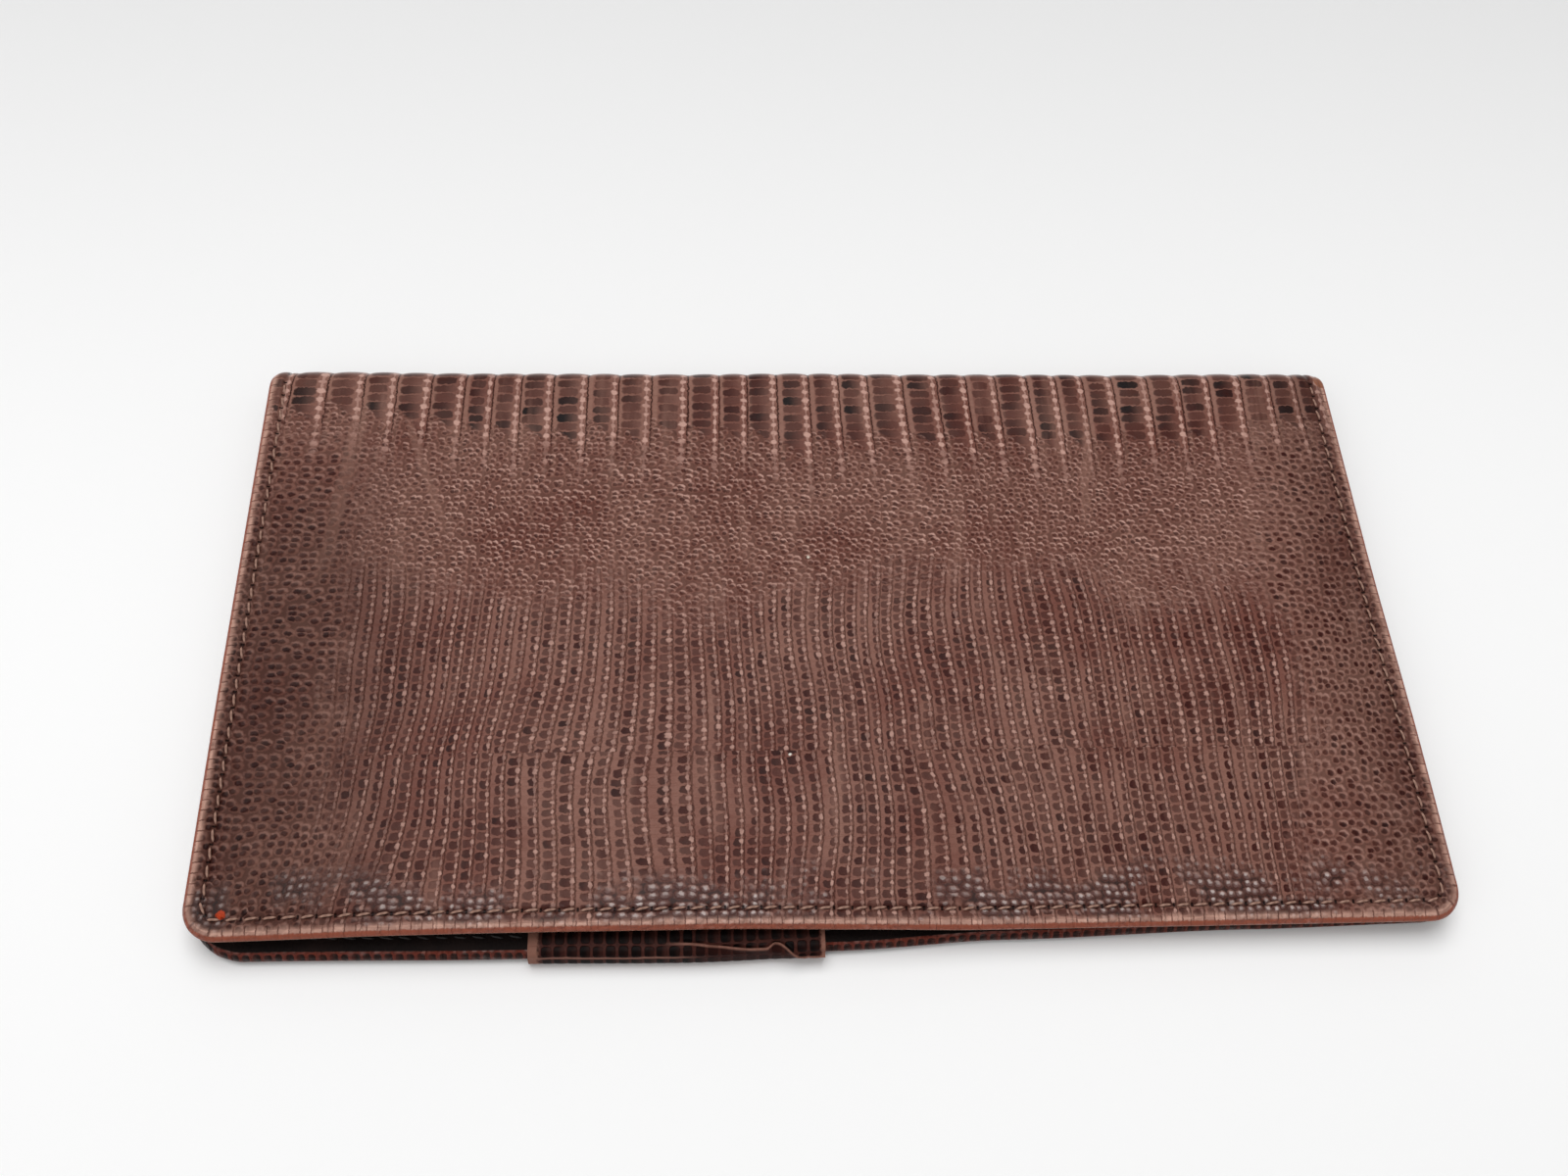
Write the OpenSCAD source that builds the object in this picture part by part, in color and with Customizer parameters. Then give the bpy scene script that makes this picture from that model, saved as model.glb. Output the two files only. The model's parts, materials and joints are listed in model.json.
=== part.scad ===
// Passport holder: a lizard-skin folder of two stiffened covers joined by a soft spine,
// each with a slip pocket inside, and a closing tab that folds round the front edge.
// Millimetres. X runs along the spine, Y from the front edge to the spine, Z up.
// The origin is under the middle of the closed holder, on the surface that it lies on.

/* [Covers] */
// Width of both covers, along the spine
cover_w = 180; // [140:1:230]
// Depth of the back cover, from its front edge to the outside of the spine
cover_d = 98; // [85:1:130]
// How far the back cover's front edge stands in front of the front cover's
stagger = 2; // [0.5:0.5:5]
// Radius of the covers' two front corners
corner_r = 5; // [4:0.5:12]
// Room between the covers' inner faces, where the ticket pocket and the tab lie
leaf_gap = 1.7; // [1.6:0.1:4]

/* [Layers] */
// Thickness of the outer hide
skin_t = 0.8; // [0.7:0.05:1.2]
// Thickness of the stiffening board
board_t = 0.5; // [0.4:0.05:1]
// Thickness of the lining
lining_t = 0.25; // [0.2:0.05:0.6]
// Thickness of the turned-in hem, which is also the height of the pocket's slot
hem_t = 0.55; // [0.4:0.05:1]
// Thickness of a passport pocket's panel
pocket_t = 0.4; // [0.3:0.05:0.8]
// Thickness of the ticket pocket's panel
ticket_t = 0.35; // [0.25:0.05:0.4]
// Thickness of the binding on a pocket's mouth
binding_t = 0.3; // [0.2:0.05:0.4]

/* [Hem and seam] */
// Width of the turned-in hem
hem_w = 5; // [4:0.25:8]
// Distance of the seam from the cover's edge
seam_inset = 2.8; // [2.4:0.1:3.4]
// Length of one stitch, hole to hole
stitch_pitch = 2.55; // [2:0.05:4]
// Length of the thread that shows in one stitch
stitch_l = 1.9; // [1.2:0.1:1.9]
// Width of the thread
thread_w = 0.45; // [0.3:0.05:0.5]
// Height of the thread above the bottom of its groove
thread_t = 0.3; // [0.2:0.02:0.36]
// Width of the groove that the seam has pressed into the hide
groove_w = 0.9; // [0.7:0.05:1.2]

/* [Pockets] */
// Depth of the passport pocket in the back cover
back_pocket_d = 62; // [45:1:66]
// Depth of the passport pocket in the front cover
front_pocket_d = 56; // [45:1:62]
// Distance of a pocket panel from the cover's edge
pocket_inset = 1; // [0.8:0.1:1.6]
// Radius of the thumb notch in a pocket's mouth
notch_r = 14; // [8:1:18]
// How far the thumb notch reaches into the panel
notch_depth = 7; // [3:1:9]
// Width of the binding on a pocket's mouth
binding_w = 3; // [2:0.5:5]
// Depth of the ticket pocket, which lies on the front cover's passport pocket
ticket_d = 27; // [25:1:45]

/* [Tab] */
// Width of the closing tab
tab_w = 41.5; // [25:0.5:50]
// Middle of the tab, from the middle of the cover
tab_x = -22; // [-30:1:-10]
// Length of the tab's tongue, from its fold to its tip
tab_l = 22; // [14:1:24]
// Thickness of the tab's hide
tab_face_t = 0.5; // [0.4:0.05:0.6]
// Thickness of the tab's lining
tab_lining_t = 0.3; // [0.2:0.05:0.35]
// Radius of the tab's two corners
tab_corner_r = 7; // [4:0.5:12]
// Thickness of the tab's root where it stands up round the front edge
tab_root_t = 0.8; // [0.6:0.05:1]
// How far the tab's root stands in front of the back cover's edge
tab_proud = 0.5; // [0.3:0.05:0.5]
// How far the tab's root reaches between the hide and the lining
tab_root_l = 8; // [6:0.5:14]
// Height of the tongue above the back cover's pocket
tab_rise = 0.25; // [0.2:0.05:0.4]

/* [Fits] */
// Gap between a cover and the spine, which the soft hide bridges
joint_gap = 0.3; // [0.3:0.05:0.6]
// Gap round a piece that is laid inside a turned edge
lay_gap = 0.1; // [0.05:0.05:0.2]
// Gap at each end of the tab, in the hem
tab_gap = 0.3; // [0.2:0.05:0.6]
// Gap over and under the thread in its groove
thread_gap = 0.07; // [0.05:0.01:0.1]

/* [Hidden] */
$fn = 64;

// Heights in one cover, from its outer face to its inner face
board_z = skin_t;
lining_z = board_z + board_t;
hem_z = lining_z + lining_t;
pocket_z = hem_z + hem_t;
cover_t = pocket_z + pocket_t;
total_h = 2 * cover_t + leaf_gap;
nose_r = pocket_z / 2; // the turned edge is a half round of the hide and the hem

// Places along Y
overall_d = cover_d + tab_proud;
back_y = -overall_d / 2 + tab_proud;
front_y = back_y + stagger;
spine_r = total_h / 2;
spine_y = overall_d / 2 - spine_r;
back_len = spine_y - joint_gap - back_y;
front_len = spine_y - joint_gap - front_y;

// The seam, as far as the middle of the front edge
groove_t = thread_t + 2 * thread_gap;
seam_r = corner_r - seam_inset;
corner_run = seam_r * PI / 2;
front_run = cover_w / 2 - corner_r;

// The tab
tab_t = tab_face_t + tab_lining_t;
tab_x0 = tab_x - tab_w / 2;
tab_x1 = tab_x + tab_w / 2;
fold_y = back_y - tab_proud + tab_t / 2;
fold_z = cover_t + tab_rise + tab_t / 2;
root_top_z = fold_z - tab_t / 2 - lay_gap;

// How far pieces of one solid run into each other
lap = 0.01;

// A cover's flat outline, with its front edge on y = 0, drawn in by inset on three sides
module cover_outline(length, inset) {
    w = cover_w - 2 * inset;
    r = max(corner_r - inset, lap);
    translate([-w / 2, inset + r]) square([w, length - inset - r]);
    translate([-w / 2 + r, inset]) square([w - 2 * r, 2 * r]);
    for (side = [-1, 1])
        translate([side * (w / 2 - r), inset + r]) circle(r);
}

// A profile drawn in (x, z) and carried along Y from y0 to y1
module along_y(y0, y1) {
    translate([0, y1, 0]) rotate([90, 0, 0]) linear_extrude(y1 - y0) children();
}

// A profile drawn in (y, z) and carried along X from x0 to x1
module along_x(x0, x1) {
    translate([x0, 0, 0]) rotate([90, 0, 90]) linear_extrude(x1 - x0) children();
}

// The half-round turned edge, as (distance from the edge, height from the outer face)
module edge_profile() {
    difference() {
        translate([nose_r, nose_r]) circle(nose_r);
        translate([nose_r, -nose_r]) square([2 * nose_r, 4 * nose_r]);
        translate([skin_t, board_z]) square([nose_r, board_t + lining_t]);
    }
}

// The turned-in hem of a cover: the edge on three sides, and the flange that it ends in
module cover_hem(length) {
    for (side = [0, 1]) mirror([side, 0, 0]) {
        translate([-cover_w / 2, 0, 0]) along_y(corner_r, length) edge_profile();
        translate([-cover_w / 2 + corner_r, corner_r, 0])
            rotate([0, 0, 180]) rotate_extrude(angle = 90)
                translate([corner_r, 0]) mirror([1, 0]) edge_profile();
        along_x(-cover_w / 2 + corner_r, lap) edge_profile();
    }
    translate([0, 0, hem_z]) linear_extrude(hem_t) difference() {
        cover_outline(length, nose_r - lap);
        cover_outline(length + 1, hem_w);
    }
}

// The flat of the hide, inside the turned edge, with the groove that the seam lies in
module cover_skin(length) {
    difference() {
        linear_extrude(skin_t) cover_outline(length, nose_r);
        translate([0, 0, -skin_t]) linear_extrude(skin_t + groove_t) difference() {
            cover_outline(length + 1, seam_inset - groove_w / 2);
            cover_outline(length + 2, seam_inset + groove_w / 2);
        }
    }
}

// A sheet laid between the hide and the hem
module laid_sheet(length, z, thickness) {
    translate([0, 0, z]) linear_extrude(thickness)
        cover_outline(length, skin_t + lay_gap);
}

// Length of one half of the seam, and the place and direction at distance s along it,
// from the spine down the side, round the corner and along the front
function half_seam(length) = length - corner_r + corner_run + front_run;
function seam_place(length, s) =
    let (side_run = length - corner_r, turned = (s - side_run) / seam_r * 180 / PI)
    s < side_run ? [-cover_w / 2 + seam_inset, length - s, -90]
    : s < side_run + corner_run
        ? [-front_run - seam_r * cos(turned), corner_r - seam_r * sin(turned), turned - 90]
    : [-front_run + s - side_run - corner_run, seam_inset, 0];

// One row of stitches round three sides of a cover, laid in the groove
module cover_seam(length) {
    count = floor(half_seam(length) / stitch_pitch);
    for (side = [0, 1], k = [0 : count - 1]) {
        place = seam_place(length, half_seam(length) - (k + 0.5) * stitch_pitch);
        mirror([side, 0, 0]) translate([place[0], place[1], thread_gap])
            rotate([0, 0, place[2]]) translate([-stitch_l / 2, -thread_w / 2, 0])
                cube([stitch_l, thread_w, thread_t]);
    }
}

// A pocket panel's outline: open towards the spine, with a thumb notch in its mouth
module pocket_outline(depth, trim) {
    difference() {
        cover_outline(depth - trim, pocket_inset);
        translate([0, depth + notch_r - notch_depth]) circle(notch_r + trim);
    }
}

module pocket_panel(depth) {
    translate([0, 0, pocket_z]) linear_extrude(pocket_t) pocket_outline(depth, 0);
}

// The strip that binds a pocket's mouth
module pocket_binding(depth) {
    translate([0, 0, cover_t]) linear_extrude(binding_t) difference() {
        pocket_outline(depth, 0);
        pocket_outline(depth, binding_w);
    }
}

// Puts a cover's piece in the holder: the back cover as it is, the front cover turned over
module in_back() {
    translate([0, back_y, 0]) children();
}

module in_front() {
    translate([0, front_y, total_h]) mirror([0, 0, 1]) children();
}

module back_skin() {
    color("#5a352b") in_back() {
        cover_skin(back_len);
        translate([tab_x0, -tab_proud, 0]) cube([tab_w, tab_proud + nose_r + lap, skin_t]);
    }
}

module back_board() {
    color("#8a7a64") in_back() difference() {
        laid_sheet(back_len, board_z, board_t);
        translate([tab_x0 - lay_gap, 0, 0])
            cube([tab_w + 2 * lay_gap, tab_root_l + lay_gap, cover_t]);
    }
}

module back_lining() {
    color("#1c1818") in_back() laid_sheet(back_len, lining_z, lining_t);
}

module back_hem() {
    color("#6e4436") in_back() difference() {
        cover_hem(back_len);
        translate([tab_x0 - tab_gap, -lap, -lap])
            cube([tab_w + 2 * tab_gap, hem_w + 2 * lap, cover_t]);
    }
}

module back_pocket() {
    color("#231c1b") in_back() pocket_panel(back_pocket_d);
}

module back_pocket_binding() {
    color("#2e2523") in_back() pocket_binding(back_pocket_d);
}

module back_seam() {
    color("#a07264") in_back() cover_seam(back_len);
}

// The tab's root: sewn in between hide and lining, and turned up round the front edge
module tab_root() {
    color("#4a2a23") {
        in_back() translate([tab_x0, -tab_proud, board_z])
            cube([tab_w, tab_root_l + tab_proud, board_t]);
        in_back() translate([tab_x0, -tab_proud, board_z])
            cube([tab_w, tab_root_t, root_top_z - board_z]);
    }
}

// A half ring round the spine's axis, between two depths under its outer face
module spine_layer(depth0, depth1) {
    translate([0, spine_y, spine_r]) along_x(-cover_w / 2 + nose_r, cover_w / 2 - nose_r)
        difference() {
            circle(spine_r - depth0);
            circle(spine_r - depth1);
            translate([-2 * spine_r, -spine_r]) square([2 * spine_r, 2 * spine_r]);
        }
}

module spine_skin() {
    color("#5a352b") spine_layer(0, skin_t);
}

module spine_interfacing() {
    color("#9a9080") spine_layer(board_z, lining_z);
}

module spine_lining() {
    color("#1c1818") spine_layer(lining_z, hem_z);
}

// The turned edge at each end of the spine, carried round it from cover to cover
module spine_hem() {
    color("#6e4436") for (side = [0, 1]) mirror([side, 0, 0])
        translate([-cover_w / 2, spine_y, spine_r]) rotate([90, 0, 90])
            rotate([0, 0, -90]) rotate_extrude(angle = 180)
                translate([spine_r, 0]) rotate(90) {
                    edge_profile();
                    translate([nose_r - lap, hem_z]) square([hem_w - nose_r + lap, hem_t]);
                }
}

module front_skin() {
    color("#5a352b") in_front() cover_skin(front_len);
}

module front_board() {
    color("#8a7a64") in_front() laid_sheet(front_len, board_z, board_t);
}

module front_lining() {
    color("#1c1818") in_front() laid_sheet(front_len, lining_z, lining_t);
}

module front_hem() {
    color("#6e4436") in_front() cover_hem(front_len);
}

module front_pocket() {
    color("#231c1b") in_front() pocket_panel(front_pocket_d);
}

module front_pocket_binding() {
    color("#2e2523") in_front() pocket_binding(front_pocket_d);
}

// A shallow pocket across the whole cover, open towards the spine
module ticket_pocket() {
    color("#2a2120") in_front() translate([0, 0, cover_t]) linear_extrude(ticket_t)
        cover_outline(ticket_d, pocket_inset);
}

module ticket_binding() {
    color("#2e2523") in_front() translate([0, 0, cover_t + ticket_t])
        linear_extrude(binding_t) difference() {
            cover_outline(ticket_d, pocket_inset);
            translate([-cover_w / 2, 0]) square([cover_w, ticket_d - binding_w]);
        }
}

module front_seam() {
    color("#a07264") in_front() cover_seam(front_len);
}

// The tongue's flat outline, from its fold to its rounded tip
module tongue_outline() {
    square([tab_w, tab_l - tab_corner_r]);
    translate([tab_corner_r, 0]) square([tab_w - 2 * tab_corner_r, tab_l]);
    for (x = [tab_corner_r, tab_w - tab_corner_r])
        translate([x, tab_l - tab_corner_r]) circle(tab_corner_r);
}

module tongue(z, thickness) {
    translate([tab_x0, fold_y, z]) linear_extrude(thickness) tongue_outline();
}

// The tongue's hide, with the round fold that it turns on
module tab_face() {
    color("#4a2a23") {
        tongue(fold_z + tab_t / 2 - tab_face_t, tab_face_t);
        translate([0, fold_y, fold_z]) along_x(tab_x0, tab_x1) difference() {
            circle(tab_t / 2);
            translate([0, -tab_t]) square([tab_t, 2 * tab_t]);
        }
    }
}

module tab_lining() {
    color("#1c1818") tongue(fold_z - tab_t / 2, tab_lining_t);
}

back_skin();
back_board();
back_lining();
back_hem();
back_pocket();
back_pocket_binding();
back_seam();
tab_root();
spine_skin();
spine_interfacing();
spine_lining();
spine_hem();
front_skin();
front_board();
front_lining();
front_hem();
front_pocket();
front_pocket_binding();
ticket_pocket();
ticket_binding();
front_seam();
tab_face();
tab_lining();
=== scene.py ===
import json
import logging
import math
from dataclasses import dataclass, field
from enum import Enum
from typing import Callable, Sequence

import bpy
import numpy as np
from mathutils import Matrix, Vector


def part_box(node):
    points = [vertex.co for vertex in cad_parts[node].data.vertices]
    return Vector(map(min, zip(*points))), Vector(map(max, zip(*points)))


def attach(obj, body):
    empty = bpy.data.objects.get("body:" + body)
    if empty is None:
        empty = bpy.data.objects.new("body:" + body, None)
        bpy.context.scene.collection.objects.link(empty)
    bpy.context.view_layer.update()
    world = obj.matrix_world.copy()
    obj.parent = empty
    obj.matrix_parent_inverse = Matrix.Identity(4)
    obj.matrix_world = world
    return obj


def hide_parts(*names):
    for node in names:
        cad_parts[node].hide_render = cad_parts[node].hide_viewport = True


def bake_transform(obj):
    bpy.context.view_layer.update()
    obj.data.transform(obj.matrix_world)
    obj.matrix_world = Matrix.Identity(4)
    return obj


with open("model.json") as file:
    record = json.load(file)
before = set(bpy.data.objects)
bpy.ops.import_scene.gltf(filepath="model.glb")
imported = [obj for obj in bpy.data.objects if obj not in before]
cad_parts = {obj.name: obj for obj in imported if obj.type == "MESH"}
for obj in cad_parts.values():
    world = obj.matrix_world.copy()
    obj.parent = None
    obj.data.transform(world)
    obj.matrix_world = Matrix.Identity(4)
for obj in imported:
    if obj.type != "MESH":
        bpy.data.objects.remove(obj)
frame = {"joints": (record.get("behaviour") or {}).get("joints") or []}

LOG = logging.getLogger("passport_holder")
MM = 0.001
Array = np.ndarray
Number = "Wire | float"


# ---------------------------------------------------------------- sizes and places

class Side(Enum):
    """Which of the two covers a piece belongs to."""

    BACK = "back"
    FRONT = "front"


@dataclass(frozen=True)
class Sizes:
    """The holder's sizes in millimetres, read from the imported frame."""

    half_width: float
    height: float
    back_edge: float
    front_edge: float
    spine_start: float
    skin: float
    board: tuple[float, float]
    lining: tuple[float, float]
    hem: tuple[float, float]
    panel: tuple[float, float]
    back_pocket: float
    front_pocket: float
    ticket: float
    ticket_top: float
    binding: float
    binding_width: float
    tab_left: float
    tab_right: float
    tab_top: float
    tab_bottom: float
    tab_length: float
    fold: tuple[float, float]
    corner: float = 5.0
    seam_inset: float = 2.8
    stitch: float = 2.55
    notch_radius: float = 14.0
    notch_depth: float = 7.0

    @classmethod
    def from_frame(cls) -> "Sizes":
        """Reads every size that the CAD nodes' boxes give."""
        def box(node: str) -> tuple[Vector, Vector]:
            low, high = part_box(node)
            return low / MM, high / MM

        joints = {joint["name"]: joint for joint in frame["joints"]}
        fold = joints["tab_fold"]["pos_m"]
        hem, skin, board, lining = box("back_hem"), box("back_skin"), box("back_board"), box("back_lining")
        pocket, ticket, strip = box("back_pocket"), box("ticket_pocket"), box("back_pocket_binding")
        front, face, under = box("front_hem"), box("tab_face"), box("tab_lining")
        ticket_strip = box("ticket_binding")
        return cls(
            half_width=hem[1].x, height=front[1].z, back_edge=hem[0].y, front_edge=front[0].y,
            spine_start=box("spine_skin")[0].y, skin=skin[1].z, board=(board[0].z, board[1].z),
            lining=(lining[0].z, lining[1].z), hem=(lining[1].z, pocket[0].z),
            panel=(pocket[0].z, pocket[1].z), back_pocket=pocket[1].y - hem[0].y,
            front_pocket=box("front_pocket")[1].y - front[0].y, ticket=ticket[1].y - front[0].y,
            ticket_top=ticket[1].z - ticket[0].z, binding=strip[1].z - strip[0].z,
            binding_width=ticket_strip[1].y - ticket_strip[0].y,
            tab_left=face[0].x, tab_right=face[1].x, tab_top=face[1].z, tab_bottom=under[0].z,
            tab_length=face[1].y - fold[1] / MM, fold=(fold[1] / MM, fold[2] / MM))

    @property
    def spine_radius(self) -> float:
        """Radius of the spine's outer face."""
        return self.height / 2

    @property
    def half_spine(self) -> float:
        """Length of half the spine's outer curve."""
        return self.spine_radius * math.pi / 2


def ease(value: Array, low: float, high: float) -> Array:
    """Smooth step from 0 at low to 1 at high, which may be the lower of the two."""
    share = np.clip((value - low) / (high - low), 0.0, 1.0)
    return share * share * (3 - 2 * share)


def through(value: Array, points: Sequence[tuple[float, float]]) -> Array:
    """A smooth curve through (place, value) points, eased from each to the next."""
    places = np.array([p[0] for p in points])
    values = np.array([p[1] for p in points])
    value = np.clip(value, places[0], places[-1])
    k = np.clip(np.searchsorted(places, value) - 1, 0, len(places) - 2)
    share = (value - places[k]) / (places[k + 1] - places[k])
    return values[k] + (values[k + 1] - values[k]) * share * share * (3 - 2 * share)


@dataclass(frozen=True)
class Cover:
    """One cover as a flat pattern: x along the spine, d from the front edge, h inwards from the outer face."""

    side: Side
    sizes: Sizes

    @property
    def edge(self) -> float:
        """Where the cover's front edge lies along Y."""
        return self.sizes.front_edge if self.side is Side.FRONT else self.sizes.back_edge

    @property
    def flat(self) -> float:
        """Depth of the flat part, from the front edge to where the spine starts to curve."""
        return self.sizes.spine_start - self.edge

    @property
    def reach(self) -> float:
        """Length of the pattern, from the front edge to the middle of the spine."""
        return self.flat + self.sizes.half_spine

    @property
    def body(self) -> str:
        """The body that the cover rides on."""
        return f"{self.side.value}_cover"

    def place(self, x: Array, d: Array, h: Array) -> Array:
        """Puts pattern points in the closed holder.

        The flat part lies level. Past it the pattern rolls round the spine's axis, so a point at arc length s
        stands at angle s / radius, at the spine's radius less its depth. The ends of the spine are drawn in.

        Args:
            x: place along the spine, in mm.
            d: distance from the front edge along the outer face, in mm.
            h: depth under the outer face, in mm.

        Returns:
            Points in mm, with the settling of an old holder added.
        """
        x, d, h = np.broadcast_arrays(np.asarray(x, float), np.asarray(d, float), np.asarray(h, float))
        radius = self.sizes.spine_radius
        past = np.clip(d - self.flat, 0.0, None)
        angle = past / radius
        y = np.where(past > 0, self.sizes.spine_start + (radius - h) * np.sin(angle), self.edge + d)
        z = np.where(past > 0, radius - (radius - h) * np.cos(angle), h)
        turn = np.clip((d - self.flat + 1.2) / (self.sizes.half_spine + 1.2), 0.0, 1.0)
        drawn_in = 1.7 * (1 - np.sqrt(1 - 0.98 * turn * turn))
        x = x * (1 - drawn_in / self.sizes.half_width)
        shift_y, shift_z = self.settle(x, d)
        x = x + 1.2 * ease(x, 30.0, 90.0) * ease(d, 62.0, 0.0)
        z = z + shift_z
        if self.side is Side.FRONT:
            z = self.sizes.height - z
        return np.stack([x, y + shift_y, z], axis=-1)

    def settle(self, x: Array, d: Array) -> tuple[Array, Array]:
        """How far use has moved the cover, as a shift along Y and one inwards.

        The upper cover's front edge sags at its ends, most at the right. The lower cover's front edge bows
        forward round the tab and has shrunk back at the right.
        """
        near = ease(d, 46.0, 0.0) ** 1.3
        if self.side is Side.FRONT:
            sag = through(x, [(-90, 0.55), (-45, -0.35), (-18, -0.1), (4, 0.3), (24, 1.1), (60, 1.3), (90, 1.15)])
            forward = through(x, [(-90, -0.45), (-60, -0.15), (-20, -0.15), (20, -0.7), (60, -0.7), (90, -0.75)])
            return forward * near, sag * near
        bow = through(x, [(-90, 1.9), (-82, -0.2), (-45, -0.6), (-20, -0.9), (0, -0.4), (25, 0.7), (60, 1.5), (90, 2.0)])
        return bow * ease(d, 34.0, 0.0), np.zeros_like(x)


# ---------------------------------------------------------------- meshes

@dataclass
class Shape:
    """Vertices in mm, faces, and the values that the materials read at each vertex."""

    points: Array
    faces: list
    marks: dict[str, Array] = field(default_factory=dict)

    def to_object(self, name: str, smooth_angle: float = 50.0) -> bpy.types.Object:
        """Makes the mesh object, with outward faces and soft shading below the given angle."""
        mesh = bpy.data.meshes.new(name)
        mesh.from_pydata((self.points * MM).tolist(), [], self.faces)
        mesh.validate()
        for label, values in self.marks.items():
            kind = "FLOAT_VECTOR" if values.ndim == 2 else "FLOAT"
            attribute = mesh.attributes.new(label, kind, "POINT")
            attribute.data.foreach_set("vector" if values.ndim == 2 else "value", values.astype(np.float32).ravel())
        mesh.update()
        if signed_volume(mesh) < 0:
            mesh.flip_normals()
        mesh.polygons.foreach_set("use_smooth", np.ones(len(mesh.polygons), bool))
        mesh.set_sharp_from_angle(angle=math.radians(smooth_angle))
        obj = bpy.data.objects.new(name, mesh)
        bpy.context.scene.collection.objects.link(obj)
        LOG.info("%s: %d vertices, %d faces", name, len(mesh.vertices), len(mesh.polygons))
        return obj


def signed_volume(mesh: bpy.types.Mesh) -> float:
    """Volume of a closed mesh, negative if its faces point inwards."""
    mesh.calc_loop_triangles()
    count = len(mesh.loop_triangles)
    corners = np.empty(count * 3, np.int32)
    mesh.loop_triangles.foreach_get("vertices", corners)
    places = np.empty(len(mesh.vertices) * 3, np.float32)
    mesh.vertices.foreach_get("co", places)
    a, b, c = places.reshape(-1, 3).astype(float)[corners.reshape(-1, 3)].transpose(1, 0, 2)
    return float(np.einsum("ij,ij->i", a, np.cross(b, c)).sum() / 6)


def grid_faces(index: Array) -> Array:
    """Quads between neighbouring entries of a grid of vertex numbers."""
    return np.stack([index[:-1, :-1], index[:-1, 1:], index[1:, 1:], index[1:, :-1]], axis=-1).reshape(-1, 4)


def tidy_faces(quads: Array) -> list:
    """Quads as lists, with a repeated corner dropped so that a pole closes in triangles."""
    whole = (quads != np.roll(quads, 1, axis=1)).all(axis=1)
    faces = quads[whole].tolist()
    for quad in quads[~whole].tolist():
        corners = [v for k, v in enumerate(quad) if v != quad[k - 1]]
        if len(corners) > 2:
            faces.append(corners)
    return faces


def slab(outer: Array, inner: Array, marks: dict[str, Array] | None = None) -> Shape:
    """A closed sheet between two grids of points, joined round their border.

    Args:
        outer: grid of points, rows by columns by 3.
        inner: grid of the same size.
        marks: values at the grid's points, which both faces take.
    """
    rows, columns = outer.shape[:2]
    top = np.arange(rows * columns).reshape(rows, columns)
    low = top + rows * columns
    border = np.concatenate([top[0, :-1], top[:-1, -1], top[-1, :0:-1], top[:0:-1, 0]])
    wall = np.stack([border, np.roll(border, -1)])
    quads = np.concatenate([
        grid_faces(top)[:, ::-1], grid_faces(low),
        np.stack([wall[0], wall[1], wall[1] + rows * columns, wall[0] + rows * columns], axis=-1)])
    points = np.concatenate([outer.reshape(-1, 3), inner.reshape(-1, 3)])
    doubled = {
        label: np.concatenate([values.reshape(rows * columns, -1)] * 2).squeeze()
        for label, values in (marks or {}).items()}
    return Shape(points, tidy_faces(quads), doubled)


# ---------------------------------------------------------------- the hide's pattern

def rows_coordinate(u: Array, v: Array) -> Array:
    """Where the hide's rows lie: u drifted by slow waves, so that rows lean, crowd and spread as they do on skin.

    The drift is a sum of sines of both coordinates, and it grows away from the belly at v = 0.
    """
    away = np.abs(v)
    lean = 1.9 * np.sin(u / 27.0 + 0.6) * (away / 60.0) ** 1.4
    curl = 0.9 * np.sin(u / 11.0 + away / 19.0) * ease(away, 6.0, 40.0)
    crowd = 0.5 * np.sin(u / 7.3 + 1.1) + 0.3 * np.sin(u / 3.1 + 0.4)
    ends = 0.6 * ease(np.abs(u - 90.0), 50.0, 90.0) * np.sin(away / 9.0 + u / 9.0)
    return u + lean + curl + crowd + ends


def belly_relief(u_rows: Array, v: Array, pitch: float) -> Array:
    """Height of the belly's rows: each a low barrel between two grooves, fading into the flank."""
    share = u_rows / pitch - np.floor(u_rows / pitch)
    barrel = np.clip(4 * share * (1 - share), 0.0, 1.0) ** 0.55
    away = np.abs(v)
    strength = 0.30 * ease(away, 22.0, 9.0) + 0.06 * ease(away, 60.0, 14.0)
    return strength * (barrel - 0.7)


def hide_waves(u: Array, v: Array) -> Array:
    """Slow unevenness of an old hide, a tenth of a millimetre high."""
    return (0.07 * np.sin(u / 13.0 + v / 17.0 + 0.5) + 0.05 * np.sin(u / 6.1 - v / 9.0)
            + 0.04 * np.sin(v / 4.7 + u / 29.0 + 1.3))


@dataclass(frozen=True)
class HidePattern:
    """Pitches of the hide's scales in mm, shared by the relief and the materials."""

    belly: float = 5.3
    imprint: float = 26.0
    tallest: float = 0.24


# ---------------------------------------------------------------- the covers' hide

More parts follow.
